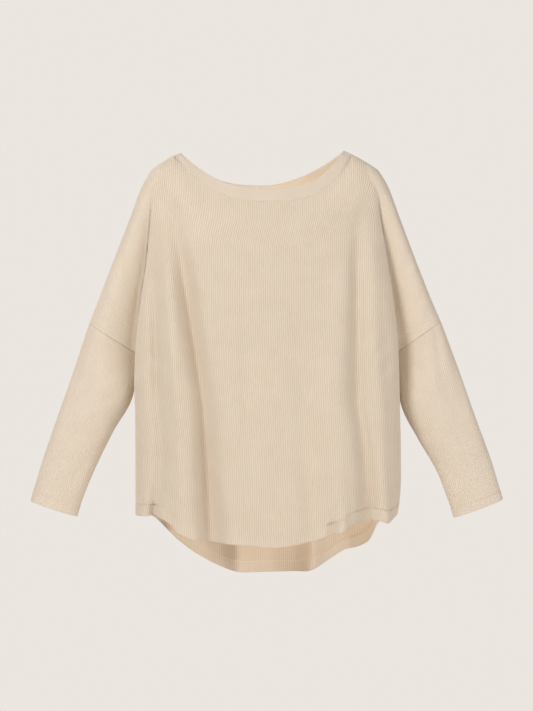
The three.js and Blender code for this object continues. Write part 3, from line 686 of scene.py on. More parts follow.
def wing_points(face, side, sizes):
    """Rows of points on the dropped shoulder, along its ribs.

    The first row is the shoulder seam and the last the drop seam, which climbs outwards.
    The rows turn from the one to the other.
    """
    reach = np.sin(np.linspace(0, np.pi / 2, WING_COLUMNS + 1))[None, :]
    start = (WING_LINES / WING_STEPS)[:, None]
    end = -1.0 if side == "left" else 1.0
    crease_top = float(top_edge(face, top_x(np.array(end)))["z"])
    crease_length = UNDERARM_Z[side] - crease_top
    outer_top = OVERARM[side]["z"][0]
    outer_length = OVERARM[side]["z"][-1] - outer_top
    rise = OVERARM[side]["z"][-1] - UNDERARM_Z[side]
    climb = mix(outer_top - crease_top, rise, smooth(start / WING_TURN))
    height = crease_top + crease_length * start + climb * reach
    top = mix(crease_top, outer_top, reach)
    down = np.clip((height - top) / mix(crease_length, outer_length, reach), 0, 1)
    reach = np.broadcast_to(reach, down.shape)
    base = wing_surface(face, side, reach, down)
    normal = wing_normals(face, side, reach, down)
    rows = np.broadcast_to(WING_LINES[:, None], down.shape)
    ribs = rib_relief(rows, sizes.rib_columns, sizes.rib_relief / MM)
    seam_distance = (1 - down) * abs(outer_length)
    top_distance = down * abs(outer_length)
    overarm_distance = (1 - reach) * np.abs(base[:, -1:, 0] - base[:, :1, 0])
    fade = smooth(reach / WING_EDGE_PART) * smooth(overarm_distance / EDGE_FADE)
    fade = fade * smooth(top_distance / EDGE_FADE)
    lift = ribs * fade * smooth(seam_distance / SEAM_FADE) * WING_RELIEF
    lift = lift + seam_roll(seam_distance, DROP_ROLL) * (reach > 0)
    length = np.abs(base[:, -1:, 0] - base[:, :1, 0]) * np.sqrt(2)
    place = np.stack([rows * sizes.rib_pitch / MM / sizes.rib_columns, reach * length], axis=-1)
    return base + normal * lift[..., None], place


def wing_normals(face, side, reach, down):
    """Outward normals of the dropped shoulder, from differences of its surface."""
    step = 0.004
    along = wing_surface(face, side, np.minimum(reach + step, 1), down)
    along = along - wing_surface(face, side, np.maximum(reach - step, 0), down)
    below = wing_surface(face, side, reach, np.minimum(down + step, 1))
    below = below - wing_surface(face, side, reach, np.maximum(down - step, 0))
    outward = (1 if side == "right" else -1) * (1 if face == "front" else -1)
    return unit(np.cross(below, along) * outward)


def grid_faces(grid, flip):
    """Four-sided faces of a grid of point numbers, rows down and columns across."""
    corners = [grid[:-1, :-1], grid[1:, :-1], grid[1:, 1:], grid[:-1, 1:]]
    faces = np.stack([corner.ravel() for corner in corners], axis=-1)
    return (faces[:, ::-1] if flip else faces).tolist()


def body_faces(index, edges, meets, flip):
    """Faces of the body: squares between the threads, and one face that closes each row
    against each side edge."""
    corners = np.stack([index[:-1, :-1], index[1:, :-1], index[1:, 1:], index[:-1, 1:]], axis=-1)
    whole = (corners >= 0).all(axis=-1)
    faces = corners[whole].tolist()
    for row in range(len(index) - 1):
        this = np.flatnonzero(index[row] >= 0)
        below = np.flatnonzero(index[row + 1] >= 0)
        if row + 1 < len(meets):
            edge = slice(meets[row], meets[row + 1] + 1)
        else:
            start = meets[-1] + row + 1 - len(meets)
            edge = slice(start, start + 2)
        first = max(this[0], below[0])
        last = min(this[-1], below[-1])
        left = [*index[row, this[0]:first + 1][::-1], *edges["left"][edge],
                *index[row + 1, below[0]:first + 1]]
        right = [*index[row + 1, last:below[-1] + 1], *edges["right"][edge][::-1],
                 *index[row, last:this[-1] + 1][::-1]]
        faces.extend([[int(i) for i in left], [int(i) for i in right]])
    return [face[::-1] for face in faces] if flip else faces


def sleeve_length(side):
    """Length of the sleeve's outer edge from the drop seam to the cuff."""
    rows = SLEEVES[side]
    return math.hypot(rows["outer_x"][-1] - rows["outer_x"][0], rows["outer_z"][-1] - rows["outer_z"][0])


def drop_seam_normal(side):
    """Unit direction square to the drop seam, down the sleeve."""
    rows = SLEEVES[side]
    along = np.array([rows["outer_x"][0] - rows["inner_x"][0], 0, rows["outer_z"][0] - rows["inner_z"][0]])
    normal = np.cross(along, [0, 1, 0])
    normal = normal / np.linalg.norm(normal)
    return normal if normal[2] < 0 else -normal


def sleeve_surface(side, turn, at):
    """A point of the sleeve: turn 0 is its inner edge and half a turn its outer edge.

    The section is pointed like the drop seam and turns oval further down, with one long
    trough near the outer edge.
    """
    rows = SLEEVES[side]
    across = (1 - np.cos(turn)) / 2
    roundness = smooth(at / SLEEVE_ROUNDING)
    pointed = 2 * across * np.sqrt(np.clip(1 - across * across, 0, 1))
    oval = 2 * np.sqrt(np.clip(across * (1 - across), 0, 1))
    start, end = SLEEVE_TROUGH["start"], SLEEVE_TROUGH["end"]
    along = np.clip((at - start) / (end - start), 0, 1)
    beside = (across - SLEEVE_TROUGH["across"]) / SLEEVE_TROUGH["width"]
    trough = SLEEVE_TROUGH["depth"] * np.sin(np.pi * along) * np.exp(-beside * beside)
    half = read(rows, "at", at, "half") * mix(pointed, oval, roundness) - trough
    x = mix(read(rows, "at", at, "inner_x"), read(rows, "at", at, "outer_x"), across)
    z = mix(read(rows, "at", at, "inner_z"), read(rows, "at", at, "outer_z"), across)
    half = np.maximum(half, 0)
    front = np.sin(turn) >= 0
    half = np.where(front, creased("front", x, half, z), creased("back", x, half, z))
    seam = drop_seam_normal(side) * SEAM_GAP / 3
    y = -np.sign(np.sin(turn)) * half
    return np.stack([x + seam[0], y, z + seam[2]], axis=-1)


def sleeve_normals(side, turn, at):
    """Outward normals of the sleeve, from differences of its surface."""
    step = 0.004
    around = sleeve_surface(side, turn + 5 * step, at) - sleeve_surface(side, turn - 5 * step, at)
    below = sleeve_surface(side, turn, np.minimum(at + step, 1))
    below = below - sleeve_surface(side, turn, np.maximum(at - step, 0))
    return unit(np.cross(below, around) * (1 if side == "right" else -1))


def make_sleeve(side, sizes, material):
    """Sleeve: its threads run along the outer edge, and end where the sleeve narrows to
    its underarm seam."""
    length = sleeve_length(side)
    down, out = turned_edge(HEM_DEPTH, sizes.hem_raise / MM, sizes.hem_fold / MM, 1.0)
    straight = (1 - HEM_DEPTH / length) * np.linspace(0, 1, SLEEVE_ROWS) ** SLEEVE_ROW_POWER
    at = np.concatenate([straight, 1 - (HEM_DEPTH - down) / length])
    offset = np.concatenate([np.zeros(SLEEVE_ROWS), out])
    fine = np.linspace(0, 2 * np.pi, FINE_PLACES)
    spacing = sizes.rib_pitch / MM / sizes.sleeve_rib_columns
    reach = int(SLEEVE_HALF / spacing)
    columns = np.arange(-reach, reach + 1)
    turn = np.empty((len(at), len(columns)))
    to_edge = np.empty_like(turn)
    for row, place in enumerate(at):
        ring = sleeve_surface(side, fine, np.full(FINE_PLACES, place))
        turn[row], to_edge[row], _ = thread_places(ring, fine, columns * spacing)
    keep = to_edge > EDGE_MARGIN
    index = np.full(turn.shape, -1)
    index[keep] = np.arange(keep.sum())
    places = np.broadcast_to(at[:, None], turn.shape)[keep]
    column = np.broadcast_to(columns, turn.shape)[keep]
    base = sleeve_surface(side, turn[keep], places)
    normal = sleeve_normals(side, turn[keep], places)
    from_seam = places * length
    in_cuff = places > 1 - HEM_DEPTH / length
    fade = smooth(from_seam / SEAM_FADE) * smooth((to_edge[keep] - EDGE_MARGIN) / EDGE_FADE)
    fade = fade * np.where(in_cuff, BAND_RIBS, 1) * SLEEVE_RELIEF
    lift = rib_relief(column, sizes.sleeve_rib_columns, sizes.rib_relief / MM) * fade
    lift = lift + np.broadcast_to(offset[:, None], turn.shape)[keep]
    lift = lift + seam_roll(from_seam, DROP_ROLL) + seam_roll(to_edge[keep], SIDE_ROLL)

    # The underarm seam: one line of points for each edge of the cloth, joined later
    seam = sleeve_surface(side, np.zeros(len(at)), at)
    seam[:, 0] += offset * (1 if side == "left" else -1)
    points = np.concatenate([base + normal * lift[:, None], seam, seam])
    girth = np.array([reach * spacing] * len(at))
    below = -at * length
    cloth = np.concatenate([np.stack([column * spacing, -from_seam], axis=-1),
                            np.stack([-girth, below], axis=-1), np.stack([girth, below], axis=-1)])
    rows = np.arange(len(at))
    edges = {"left": len(base) + rows, "right": len(base) + len(at) + rows}
    faces = body_faces(index, edges, rows, side == "left")
    piece = build_mesh(f"cloth_sleeve_{side}", points, [(faces, cloth, 0)], material)
    thicken(piece, sizes.knit_thickness / MM)
    return piece


# Neckband: width of the strip, part of the knit's thickness that each layer has, its
# points, how far it reaches under the panels and how far it stands out of them
BAND_WIDTH = 21
BAND_LAYER = 0.8
BAND_COLUMNS = 400
BAND_ROWS = 8
BAND_FOLD_ROWS = 9
BAND_OVERLAP = 1.2
BAND_LIFT = 0.3


def band_section(width, thickness):
    """Section of the folded strip, as its height over the seam and how far it stands out.

    Up the outside, half a circle over the fold at the top edge, and down the inside.
    """
    radius = thickness / 2
    angle = np.linspace(0, np.pi, BAND_FOLD_ROWS)
    rise = np.linspace(0, 1, BAND_ROWS, endpoint=False)
    straight = mix(-BAND_OVERLAP, width - radius, rise)
    up = np.concatenate([straight, width - radius + radius * np.sin(angle), straight[::-1]])
    out = np.concatenate([np.full(BAND_ROWS, radius), radius * np.cos(angle), np.full(BAND_ROWS, -radius)])
    return up, out + BAND_LIFT - radius


def make_neckband(sizes, material):
    """Neckband: a strip folded double along its top edge, all round the neckline."""
    fine = np.linspace(0, 2 * np.pi, FINE_PLACES)
    edge = neck_point("top", fine)
    run = run_along(edge)
    turn = np.interp(np.arange(BAND_COLUMNS) / BAND_COLUMNS * run[-1], run, fine)[:, None]
    seam = neck_point("seam", turn)
    across = neck_point("top", turn) - seam
    width = np.linalg.norm(across, axis=-1, keepdims=True)
    across = across / width
    beside = 0.01
    along = neck_point("seam", turn + beside) - neck_point("seam", turn - beside)
    along = along - across * np.sum(along * across, axis=-1, keepdims=True)
    normal = unit(np.cross(across, along))
    up_rows, out_rows = band_section(BAND_WIDTH, sizes.band_thickness / MM)
    stretch = width[..., 0] / BAND_WIDTH
    points = seam + across * (up_rows * stretch)[..., None] + normal * out_rows[None, :, None]
    rows = len(up_rows)
    cloth_down = np.concatenate([[0], np.cumsum(np.hypot(np.diff(up_rows), np.diff(out_rows)))])
    ring = run[-1] * np.arange(BAND_COLUMNS + 1) / BAND_COLUMNS
    grid = np.arange(BAND_COLUMNS * rows).reshape(BAND_COLUMNS, rows)
    cloth = np.stack(np.broadcast_arrays(ring[:-1, None], cloth_down[None, :]), axis=-1).reshape(-1, 2)
    closing = cloth.copy()
    closing[grid[0], 0] = ring[-1]
    groups = [(grid_faces(grid, True), cloth, 0), (grid_faces(grid[[-1, 0]], True), closing, 0)]
    piece = build_mesh("cloth_neckband", points.reshape(-1, 3), groups, material)
    thicken(piece, sizes.knit_thickness / MM * BAND_LAYER)
    return piece


# Stitches: places along one as part of its length, and how thick it is there
STITCH_SIDES = 5
STITCH_RINGS = [(-0.5, 0.0), (-0.3, 1.0), (0.3, 1.0), (0.5, 0.0)]
STITCH_GAP = 0.25
TWIN_NEEDLE = (1.8, 4.6)
STITCH_LIFT = 0.4


def stitch_row(surface, normal, closed, sizes):
    """Stitches along a line of surface points: each a short bead with pointed ends.

    Beads are spaced evenly along the line's length and sink into the cloth at the ends.
    """
    points = np.concatenate([surface, surface[:1]]) if closed else surface
    normals = np.concatenate([normal, normal[:1]]) if closed else normal
    run = run_along(points)
    length = sizes.stitch_length / MM
    count = int(run[-1] / length)
    at = (np.arange(count) + 0.5) * run[-1] / count
    centre = read_line(run, points, at)
    along = unit(read_line(run, points, at + length / 4) - read_line(run, points, at - length / 4))
    beside = unit(np.cross(along, read_line(run, normals, at)))
    out = np.cross(beside, along)
    radius = sizes.stitch_thickness / MM / 2
    bead = length * (1 - STITCH_GAP)
    angle = np.arange(STITCH_SIDES) / STITCH_SIDES * 2 * np.pi
    rings = []
    for part, thick in STITCH_RINGS:
        ring = centre[:, None] + along[:, None] * part * bead - out[:, None] * (1 - thick) * radius
        ring = ring + out[:, None] * (np.cos(angle) * thick * radius)[None, :, None]
        ring = ring + beside[:, None] * (np.sin(angle) * thick * radius)[None, :, None]
        rings.append(ring)
    beads = np.stack(rings, axis=1)
    grid = np.arange(len(STITCH_RINGS) * STITCH_SIDES).reshape(len(STITCH_RINGS), STITCH_SIDES)
    grid = np.concatenate([grid, grid[:, :1]], axis=1)
    bead_faces = np.array(grid_faces(grid, False))
    starts = np.arange(count)[:, None, None] * len(STITCH_RINGS) * STITCH_SIDES
    return beads.reshape(-1, 3), (bead_faces[None] + starts).reshape(-1, 4)


def hem_line(face, above):
    """Points and normals along a panel's hem, a distance below the top of its band."""
    places = np.sin(np.linspace(-1, 1, FINE_PLACES)[4:-4] * np.pi / 2)
    run = np.full(len(places), 2.0 + above)
    normal = panel_normals(face, places, run)
    return panel_surface(face, places, run) + normal * STITCH_LIFT, normal


def cuff_line(side, below):
    """Points and normals round a cuff, a distance below the top of its band."""
    turn = np.linspace(0, 2 * np.pi, FINE_PLACES)[:-1]
    at = np.full(len(turn), 1 - (HEM_DEPTH - below) / sleeve_length(side))
    step = 0.01
    around = sleeve_surface(side, turn + step, at) - sleeve_surface(side, turn - step, at)
    down = sleeve_surface(side, turn, at + step / 2) - sleeve_surface(side, turn, at - step / 2)
    normal = unit(np.cross(down, around) * (1 if side == "right" else -1))
    return sleeve_surface(side, turn, at) + normal * STITCH_LIFT, normal


def make_stitches(name, lines, sizes, material):
    """Joins rows of stitches into one piece."""
    points = []
    faces = []
    count = 0
    for surface, normal, closed in lines:
        row_points, row_faces = stitch_row(surface, normal, closed, sizes)
        faces.append(row_faces + count)
        points.append(row_points)
        count += len(row_points)
    points = np.concatenate(points)
    faces = np.concatenate(faces).tolist()
    return build_mesh(name, points, [(faces, np.zeros((len(points), 2)), 0)], material)


# Materials


def node(tree, kind, place, **values):
    """A node at a place of the tree, with its settings and the values of its inputs."""
    made = tree.nodes.new(kind)
    made.location = place
    for name, value in values.items():
        setattr(made, name, value)
    return made


def math_node(tree, operation, place, first, second=None, third=None):
    """A Math node whose inputs are numbers or other nodes' outputs; gives its output."""
    made = node(tree, "ShaderNodeMath", place, operation=operation)
    for socket, value in zip(made.inputs, (first, second, third)):
        if value is None:
            continue
        if isinstance(value, (int, float)):
            socket.default_value = value
        else:
            tree.links.new(value, socket)
    return made.outputs[0]


def knit_group():
    """Group of a knit's colour and height, from its place on the cloth in metres.

    Ribs are a cosine across the cloth, with painted shade darkening their grooves. Courses are a
    weak wave down the cloth, offset on each rib, with painted shade in their low parts, and the
    yarn a fine wave with fuzz from noise.
    """
    tree = bpy.data.node_groups.new("knit", "ShaderNodeTree")
    new = tree.interface.new_socket
    new("Cloth", in_out="INPUT", socket_type="NodeSocketVector")
    new("Yarn", in_out="INPUT", socket_type="NodeSocketColor")
    # This colour is painted shade: the grooves and the courses' low parts darken towards it, and the
    # noise's random tone mixes towards it too.
    new("Shaded groove", in_out="INPUT", socket_type="NodeSocketColor")
    for name, value in (("Rib pitch", 0.0035), ("Rib shade", 0.5), ("Course pitch", 0.008),
                        ("Course shade", 0.2), ("Stitch pitch", 0.0012), ("Rib height", 0.35)):
        new(name, in_out="INPUT", socket_type="NodeSocketFloat").default_value = value
    new("Color", in_out="OUTPUT", socket_type="NodeSocketColor")
    new("Height", in_out="OUTPUT", socket_type="NodeSocketFloat")
    new("Roughness", in_out="OUTPUT", socket_type="NodeSocketFloat")
    link = tree.links.new
    given = node(tree, "NodeGroupInput", (-1400, 0)).outputs
    result = node(tree, "NodeGroupOutput", (900, 0)).inputs
    split = node(tree, "ShaderNodeSeparateXYZ", (-1200, 0))
    link(given["Cloth"], split.inputs[0])
    turn = 2 * math.pi
    rib = math_node(tree, "DIVIDE", (-1000, 200), split.outputs["X"], given["Rib pitch"])
    rib_wave = math_node(tree, "COSINE", (-800, 200), math_node(tree, "MULTIPLY", (-900, 200), rib, turn))
    shaded_groove = math_node(tree, "MULTIPLY_ADD", (-650, 200), rib_wave, 0.5, 0.5)
    shaded_groove = math_node(tree, "POWER", (-500, 200), shaded_groove, 2.2)
    course = math_node(tree, "DIVIDE", (-1000, 0), split.outputs["Y"], given["Course pitch"])
    nearest_rib = math_node(tree, "ROUND", (-900, 60), rib)
    shifted = math_node(tree, "MULTIPLY_ADD", (-850, 0), nearest_rib, 0.5, course)
    course_wave = math_node(tree, "SINE", (-650, 0), math_node(tree, "MULTIPLY", (-750, 0), shifted, turn))
    stitch = math_node(tree, "DIVIDE", (-1000, -200), split.outputs["Y"], given["Stitch pitch"])
    slant = math_node(tree, "PINGPONG", (-1000, -320), rib, 0.25)
    stitch = math_node(tree, "MULTIPLY_ADD", (-850, -200), slant, 3.0, stitch)
    stitch_turn = math_node(tree, "MULTIPLY", (-750, -200), stitch, turn)
    stitch_wave = math_node(tree, "SINE", (-650, -200), stitch_turn)
    fuzz = node(tree, "ShaderNodeTexNoise", (-1000, -460), noise_dimensions="2D")
    fuzz.inputs["Scale"].default_value = 1700
    fuzz.inputs["Detail"].default_value = 3
    link(given["Cloth"], fuzz.inputs["Vector"])
    patch = node(tree, "ShaderNodeTexNoise", (-1000, -700), noise_dimensions="2D")
    patch.inputs["Scale"].default_value = 26
    patch.inputs["Detail"].default_value = 4
    link(given["Cloth"], patch.inputs["Vector"])

    # Colour: painted shade in the grooves and in the courses' low parts, and random tone from noise
    shade = math_node(tree, "MULTIPLY", (-300, 200), shaded_groove, given["Rib shade"])
    course_shade = math_node(tree, "MULTIPLY", (-300, 60), given["Course shade"],
                             math_node(tree, "MULTIPLY_ADD", (-400, 0), course_wave, -0.5, 0.5))
    shade = math_node(tree, "ADD", (-150, 150), shade, course_shade)
    fuzz_shade = math_node(tree, "MULTIPLY_ADD", (-300, -300), fuzz.outputs["Fac"], 0.5, -0.25)
    shade = math_node(tree, "ADD", (0, 150), shade, fuzz_shade)
    shade = math_node(tree, "ADD", (0, 60), shade,
                      math_node(tree, "MULTIPLY_ADD", (-150, -60), patch.outputs["Fac"], 0.3, -0.15))
    blend = node(tree, "ShaderNodeMix", (300, 200), data_type="RGBA", clamp_factor=True)
    link(shade, blend.inputs[0])
    link(given["Yarn"], blend.inputs[6])
    link(given["Shaded groove"], blend.inputs[7])
    link(blend.outputs[2], result["Color"])

    # Height in millimetres
    height = math_node(tree, "MULTIPLY", (-150, -200), shaded_groove, given["Rib height"])
    height = math_node(tree, "MULTIPLY", (0, -200), height, -1.0)
    height = math_node(tree, "MULTIPLY_ADD", (150, -200), course_wave, 0.05, height)
    height = math_node(tree, "MULTIPLY_ADD", (300, -200), stitch_wave, 0.09, height)
    height = math_node(tree, "MULTIPLY_ADD", (450, -200), fuzz.outputs["Fac"], 0.16, height)
    link(height, result["Height"])
    link(math_node(tree, "MULTIPLY_ADD", (450, -400), fuzz.outputs["Fac"], 0.14, 0.8), result["Roughness"])
    return tree


def new_material(name):
    """A material with its node tree and its shader."""
    material = bpy.data.materials.new(name)
    material.use_nodes = True
    return material, material.node_tree, material.node_tree.nodes["Principled BSDF"]


def knit_material(name, group, yarn, shaded_groove, **pitches):
    """Matte cotton knit: the knit group feeds colour, roughness and bump."""
    material, tree, shader = new_material(name)
    cloth = node(tree, "ShaderNodeUVMap", (-900, 0), uv_map="cloth")
    knit = node(tree, "ShaderNodeGroup", (-600, 0), node_tree=group)
    tree.links.new(cloth.outputs[0], knit.inputs["Cloth"])
    knit.inputs["Yarn"].default_value = (*yarn, 1)
    # The second colour is the painted shade of the grooves and the courses' low parts.
    knit.inputs["Shaded groove"].default_value = (*shaded_groove, 1)
    for label, value in pitches.items():
        knit.inputs[label.replace("_", " ").capitalize()].default_value = value
    bump = node(tree, "ShaderNodeBump", (-300, -200))
    bump.inputs["Distance"].default_value = MM
    tree.links.new(knit.outputs["Height"], bump.inputs["Height"])
    tree.links.new(knit.outputs["Color"], shader.inputs["Base Color"])
    tree.links.new(knit.outputs["Roughness"], shader.inputs["Roughness"])
    tree.links.new(bump.outputs[0], shader.inputs["Normal"])
    shader.inputs["Sheen Weight"].default_value = 0.25
    shader.inputs["Sheen Roughness"].default_value = 0.5
    shader.inputs["Specular IOR Level"].default_value = 0.2
    return material


def thread_material(yarn):
    """Sewing thread: twisted strands as a fine slanted wave on Object coordinates."""
    material, tree, shader = new_material("thread")
    place = node(tree, "ShaderNodeTexCoord", (-900, 0))
    strands = node(tree, "ShaderNodeTexWave", (-700, 0), wave_type="BANDS", bands_direction="DIAGONAL")
    strands.inputs["Scale"].default_value = 900
    tree.links.new(place.outputs["Object"], strands.inputs["Vector"])
    ramp = node(tree, "ShaderNodeMix", (-450, 100), data_type="RGBA")
    ramp.inputs[6].default_value = (*[0.82 * value for value in yarn], 1)
    ramp.inputs[7].default_value = (*yarn, 1)
    tree.links.new(strands.outputs["Fac"], ramp.inputs[0])
    tree.links.new(ramp.outputs[2], shader.inputs["Base Color"])
    bump = node(tree, "ShaderNodeBump", (-300, -200))
    bump.inputs["Distance"].default_value = 0.1 * MM
    tree.links.new(strands.outputs["Fac"], bump.inputs["Height"])
    tree.links.new(bump.outputs[0], shader.inputs["Normal"])
    shader.inputs["Roughness"].default_value = 0.7
    return material


def floor_material(colour):
    """Plain pale floor with a faint mottle."""
    material, tree, shader = new_material("floor")
    place = node(tree, "ShaderNodeTexCoord", (-900, 0))
    mottle = node(tree, "ShaderNodeTexNoise", (-700, 0))
    mottle.inputs["Scale"].default_value = 6
    tree.links.new(place.outputs["Object"], mottle.inputs["Vector"])
    blend = node(tree, "ShaderNodeMix", (-450, 0), data_type="RGBA")
    blend.inputs[6].default_value = (*[0.97 * value for value in colour], 1)
    blend.inputs[7].default_value = (*colour, 1)
    tree.links.new(mottle.outputs["Fac"], blend.inputs[0])
    tree.links.new(blend.outputs[2], shader.inputs["Base Color"])
    shader.inputs["Roughness"].default_value = 0.9
    return material


# Settings


class ThermalTopSizes(bpy.types.PropertyGroup):
    """Sizes of the cloth."""
    knit_thickness: FloatProperty(
        name="Knit thickness", description="Thickness of one layer of the rib knit",
        default=0.0015, min=0.0005, max=0.003, subtype="DISTANCE", unit="LENGTH")
    rib_pitch: FloatProperty(
        name="Rib pitch", description="Distance from one rib of the knit to the next",
        default=0.0035, min=0.002, max=0.01, subtype="DISTANCE", unit="LENGTH")
    rib_relief: FloatProperty(
        name="Rib relief", description="Height of a rib over its grooves",
        default=0.00065, min=0, max=0.002, subtype="DISTANCE", unit="LENGTH")
    rib_columns: IntProperty(
        name="Rib columns", description="Columns of points for each rib of the panels",
        default=3, min=2, max=4)
    sleeve_rib_columns: IntProperty(
        name="Sleeve rib columns", description="Columns of points for each rib of the sleeves",
        default=4, min=2, max=6)
    hem_raise: FloatProperty(
        name="Hem raise", description="How far the turned hem stands out of the cloth",
        default=0.0003, min=0, max=0.002, subtype="DISTANCE", unit="LENGTH")
    hem_fold: FloatProperty(
        name="Hem fold", description="How far the turned layer lies behind the cloth's face",
        default=0.0021, min=0.0016, max=0.006, subtype="DISTANCE", unit="LENGTH")
    band_thickness: FloatProperty(
        name="Neckband thickness", description="Thickness of the folded neckband",
        default=0.003, min=0.001, max=0.006, subtype="DISTANCE", unit="LENGTH")
    stitch_length: FloatProperty(
        name="Stitch length", description="Length of one stitch of the hems",
        default=0.003, min=0.001, max=0.01, subtype="DISTANCE", unit="LENGTH")
    stitch_thickness: FloatProperty(
        name="Stitch thickness", description="Thickness of the sewing thread",
        default=0.0005, min=0.0002, max=0.001, subtype="DISTANCE", unit="LENGTH")


class ThermalTopColours(bpy.types.PropertyGroup):
    """Colours of the cloth and the stage."""
    yarn: FloatVectorProperty(
        name="Yarn", description="Colour of the cream cotton on top of the ribs",
        default=(0.85, 0.735, 0.60), size=3, min=0, max=1, subtype="COLOR")
    # Painted shade colour, which the knit's grooves and the low parts of its courses darken towards
    shaded_groove: FloatVectorProperty(
        name="Shaded groove", description="Colour of the cotton down in the grooves",
        default=(0.66, 0.52, 0.37), size=3, min=0, max=1, subtype="COLOR")
    backdrop: FloatVectorProperty(
        name="Backdrop", description="Colour of the plain surroundings",
        default=(0.83, 0.79, 0.745), size=3, min=0, max=1, subtype="COLOR")


class ThermalTopStage(bpy.types.PropertyGroup):
    """Floor and lights."""
    floor_radius: FloatProperty(
        name="Floor radius", description="Radius of the round floor under the garment",
        default=1.1, min=0.5, max=3, subtype="DISTANCE", unit="LENGTH")
    floor_height: FloatProperty(
        name="Floor height", description="Height of the floor, below the hem",
        default=-1.25, min=-3, max=-0.75, subtype="DISTANCE", unit="LENGTH")
    key_power: FloatProperty(
        name="Key light", description="Power of the large soft light at the upper left",
        default=62, min=0, max=1000, subtype="POWER", unit="POWER")
    fill_power: FloatProperty(
        name="Fill light", description="Power of the soft light at the right",
        default=42, min=0, max=1000, subtype="POWER", unit="POWER")
    rim_power: FloatProperty(
        name="Back light", description="Power of the soft light behind and above",
        default=30, min=0, max=1000, subtype="POWER", unit="POWER")
    inner_power: FloatProperty(
        name="Inner light", description="Power of the weak light inside the garment",
        default=1.3, min=0, max=20, subtype="POWER", unit="POWER")


# Operators

# Distance between the columns of the plain knit, in metres
PLAIN_WALE = 0.0016
# Size that each piece was cut to: width, length and flat area, in metres
PANEL_CUTS = {"front": (0.97, 0.66, 0.42), "back": (0.97, 0.72, 0.44)}


def materials():
    """The rib knit, a copy with less painted shade and lower ribs, and the plain knit, made once from the
    colours.
    """
    colours = bpy.context.scene.thermal_top_colours
    sizes = bpy.context.scene.thermal_top_sizes
    if "rib_knit_cream" not in bpy.data.materials:
        group = knit_group()
        # Rib shade and course shade set how far painted shade darkens the grooves and the courses' low
        # parts.
        knit_material("rib_knit_cream", group, colours.yarn, colours.shaded_groove,
                      rib_pitch=sizes.rib_pitch, rib_shade=0.7, course_pitch=0.008,
                      course_shade=0.04, stitch_pitch=0.0012, rib_height=0.3)
        knit_material("rib_knit_soft", group, colours.yarn, colours.shaded_groove,
                      rib_pitch=sizes.rib_pitch, rib_shade=0.3, course_pitch=0.008,
                      course_shade=0.04, stitch_pitch=0.0012, rib_height=0.15)
        knit_material("plain_knit_cream", group, colours.yarn, colours.shaded_groove,
                      rib_pitch=PLAIN_WALE, rib_shade=0.08, course_pitch=0.0016,
                      course_shade=0.05, stitch_pitch=0.0011, rib_height=0.06)
    return [bpy.data.materials[name] for name in ("rib_knit_cream", "rib_knit_soft", "plain_knit_cream")]


class ThermalTopPanels(bpy.types.Operator):
    """Make the front and the back, with their dropped shoulders and turned hems."""
    bl_idname = "thermal_top.panels"
    bl_label = "Front and back"

    def execute(self, context):
        sizes = context.scene.thermal_top_sizes
        for face, (width, length, area) in PANEL_CUTS.items():
            piece = make_panel(face, sizes, materials()[:2])
            declare(piece, face)
        return {"FINISHED"}


class ThermalTopSleeves(bpy.types.Operator):
    """Make both sleeves, with their turned cuffs."""
    bl_idname = "thermal_top.sleeves"
    bl_label = "Sleeves"

    def execute(self, context):
        sizes = context.scene.thermal_top_sizes
        for side in SLEEVES:
            piece = make_sleeve(side, sizes, materials()[1])
            declare(piece, f"sleeve_{side}")
        return {"FINISHED"}


class ThermalTopNeckband(bpy.types.Operator):
    """Make the folded neckband."""
    bl_idname = "thermal_top.neckband"
    bl_label = "Neckband"

    def execute(self, context):
        piece = make_neckband(context.scene.thermal_top_sizes, materials()[2])
        declare(piece, "neckband")
        return {"FINISHED"}


class ThermalTopStitches(bpy.types.Operator):
    """Sew the twin rows of stitches along the hems and the cuffs."""
    bl_idname = "thermal_top.stitches"
    bl_label = "Stitches"

    def execute(self, context):
        sizes = context.scene.thermal_top_sizes
        thread = thread_material(context.scene.thermal_top_colours.yarn)
        hem = [(*hem_line(face, above), False) for face in ("front", "back") for above in TWIN_NEEDLE]
        cuffs = [(*cuff_line(side, below), True) for side in SLEEVES for below in TWIN_NEEDLE]
        for name, lines in (("stitches_hem", hem), ("stitches_cuffs", cuffs)):
            piece = make_stitches(name, lines, sizes, thread)
            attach(piece, "root")
        return {"FINISHED"}


class ThermalTopStageMaker(bpy.types.Operator):
    """Make the floor, the lights and the camera."""
    bl_idname = "thermal_top.stage"
    bl_label = "Stage"

    def execute(self, context):
        stage = context.scene.thermal_top_stage
        colours = context.scene.thermal_top_colours
        make_floor(stage, colours)
        make_lights(stage)
        make_inner_light(stage)
        make_world(colours)
        make_camera()
        return {"FINISHED"}


def declare(piece, cad_node):
    """Hides the solid that a cloth piece stands for, and puts the piece under the root."""
    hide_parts(cad_node)
    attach(piece, "root")


# Stage: the lights, the camera at the photograph's place, and the floor's points
LIGHT_TARGET = (0, 0, -0.33)
AMBIENT = 0.48
CAMERA_DISTANCE = 3.2
CAMERA_HEIGHT = -0.334
IMAGE_HEIGHT = 711
PIXEL_SIZE = 1.65
SENSOR = 36
INNER_LIGHT_PLACE = (0, -0.02, -0.36)
INNER_LIGHT_RADIUS = 0.06
FLOOR_SIDES = 96
FLOOR_RINGS = 3


def make_floor(stage, colours):
    """Round floor: rings of points of equal steps out from the middle."""
    turn = np.arange(FLOOR_SIDES) / FLOOR_SIDES * 2 * np.pi
    radius = np.arange(FLOOR_RINGS + 1)[:, None] / FLOOR_RINGS * stage.floor_radius / MM
    points = np.stack([radius * np.cos(turn), radius * np.sin(turn),
                       np.full((FLOOR_RINGS + 1, FLOOR_SIDES), stage.floor_height / MM)], axis=-1)
    grid = np.arange(points.size // 3).reshape(FLOOR_RINGS + 1, FLOOR_SIDES)
    grid = np.concatenate([grid, grid[:, :1]], axis=1)
    points = points.reshape(-1, 3)
    material = floor_material(colours.backdrop)
    build_mesh("floor", points, [(grid_faces(grid, False), points[:, :2], 0)], material)


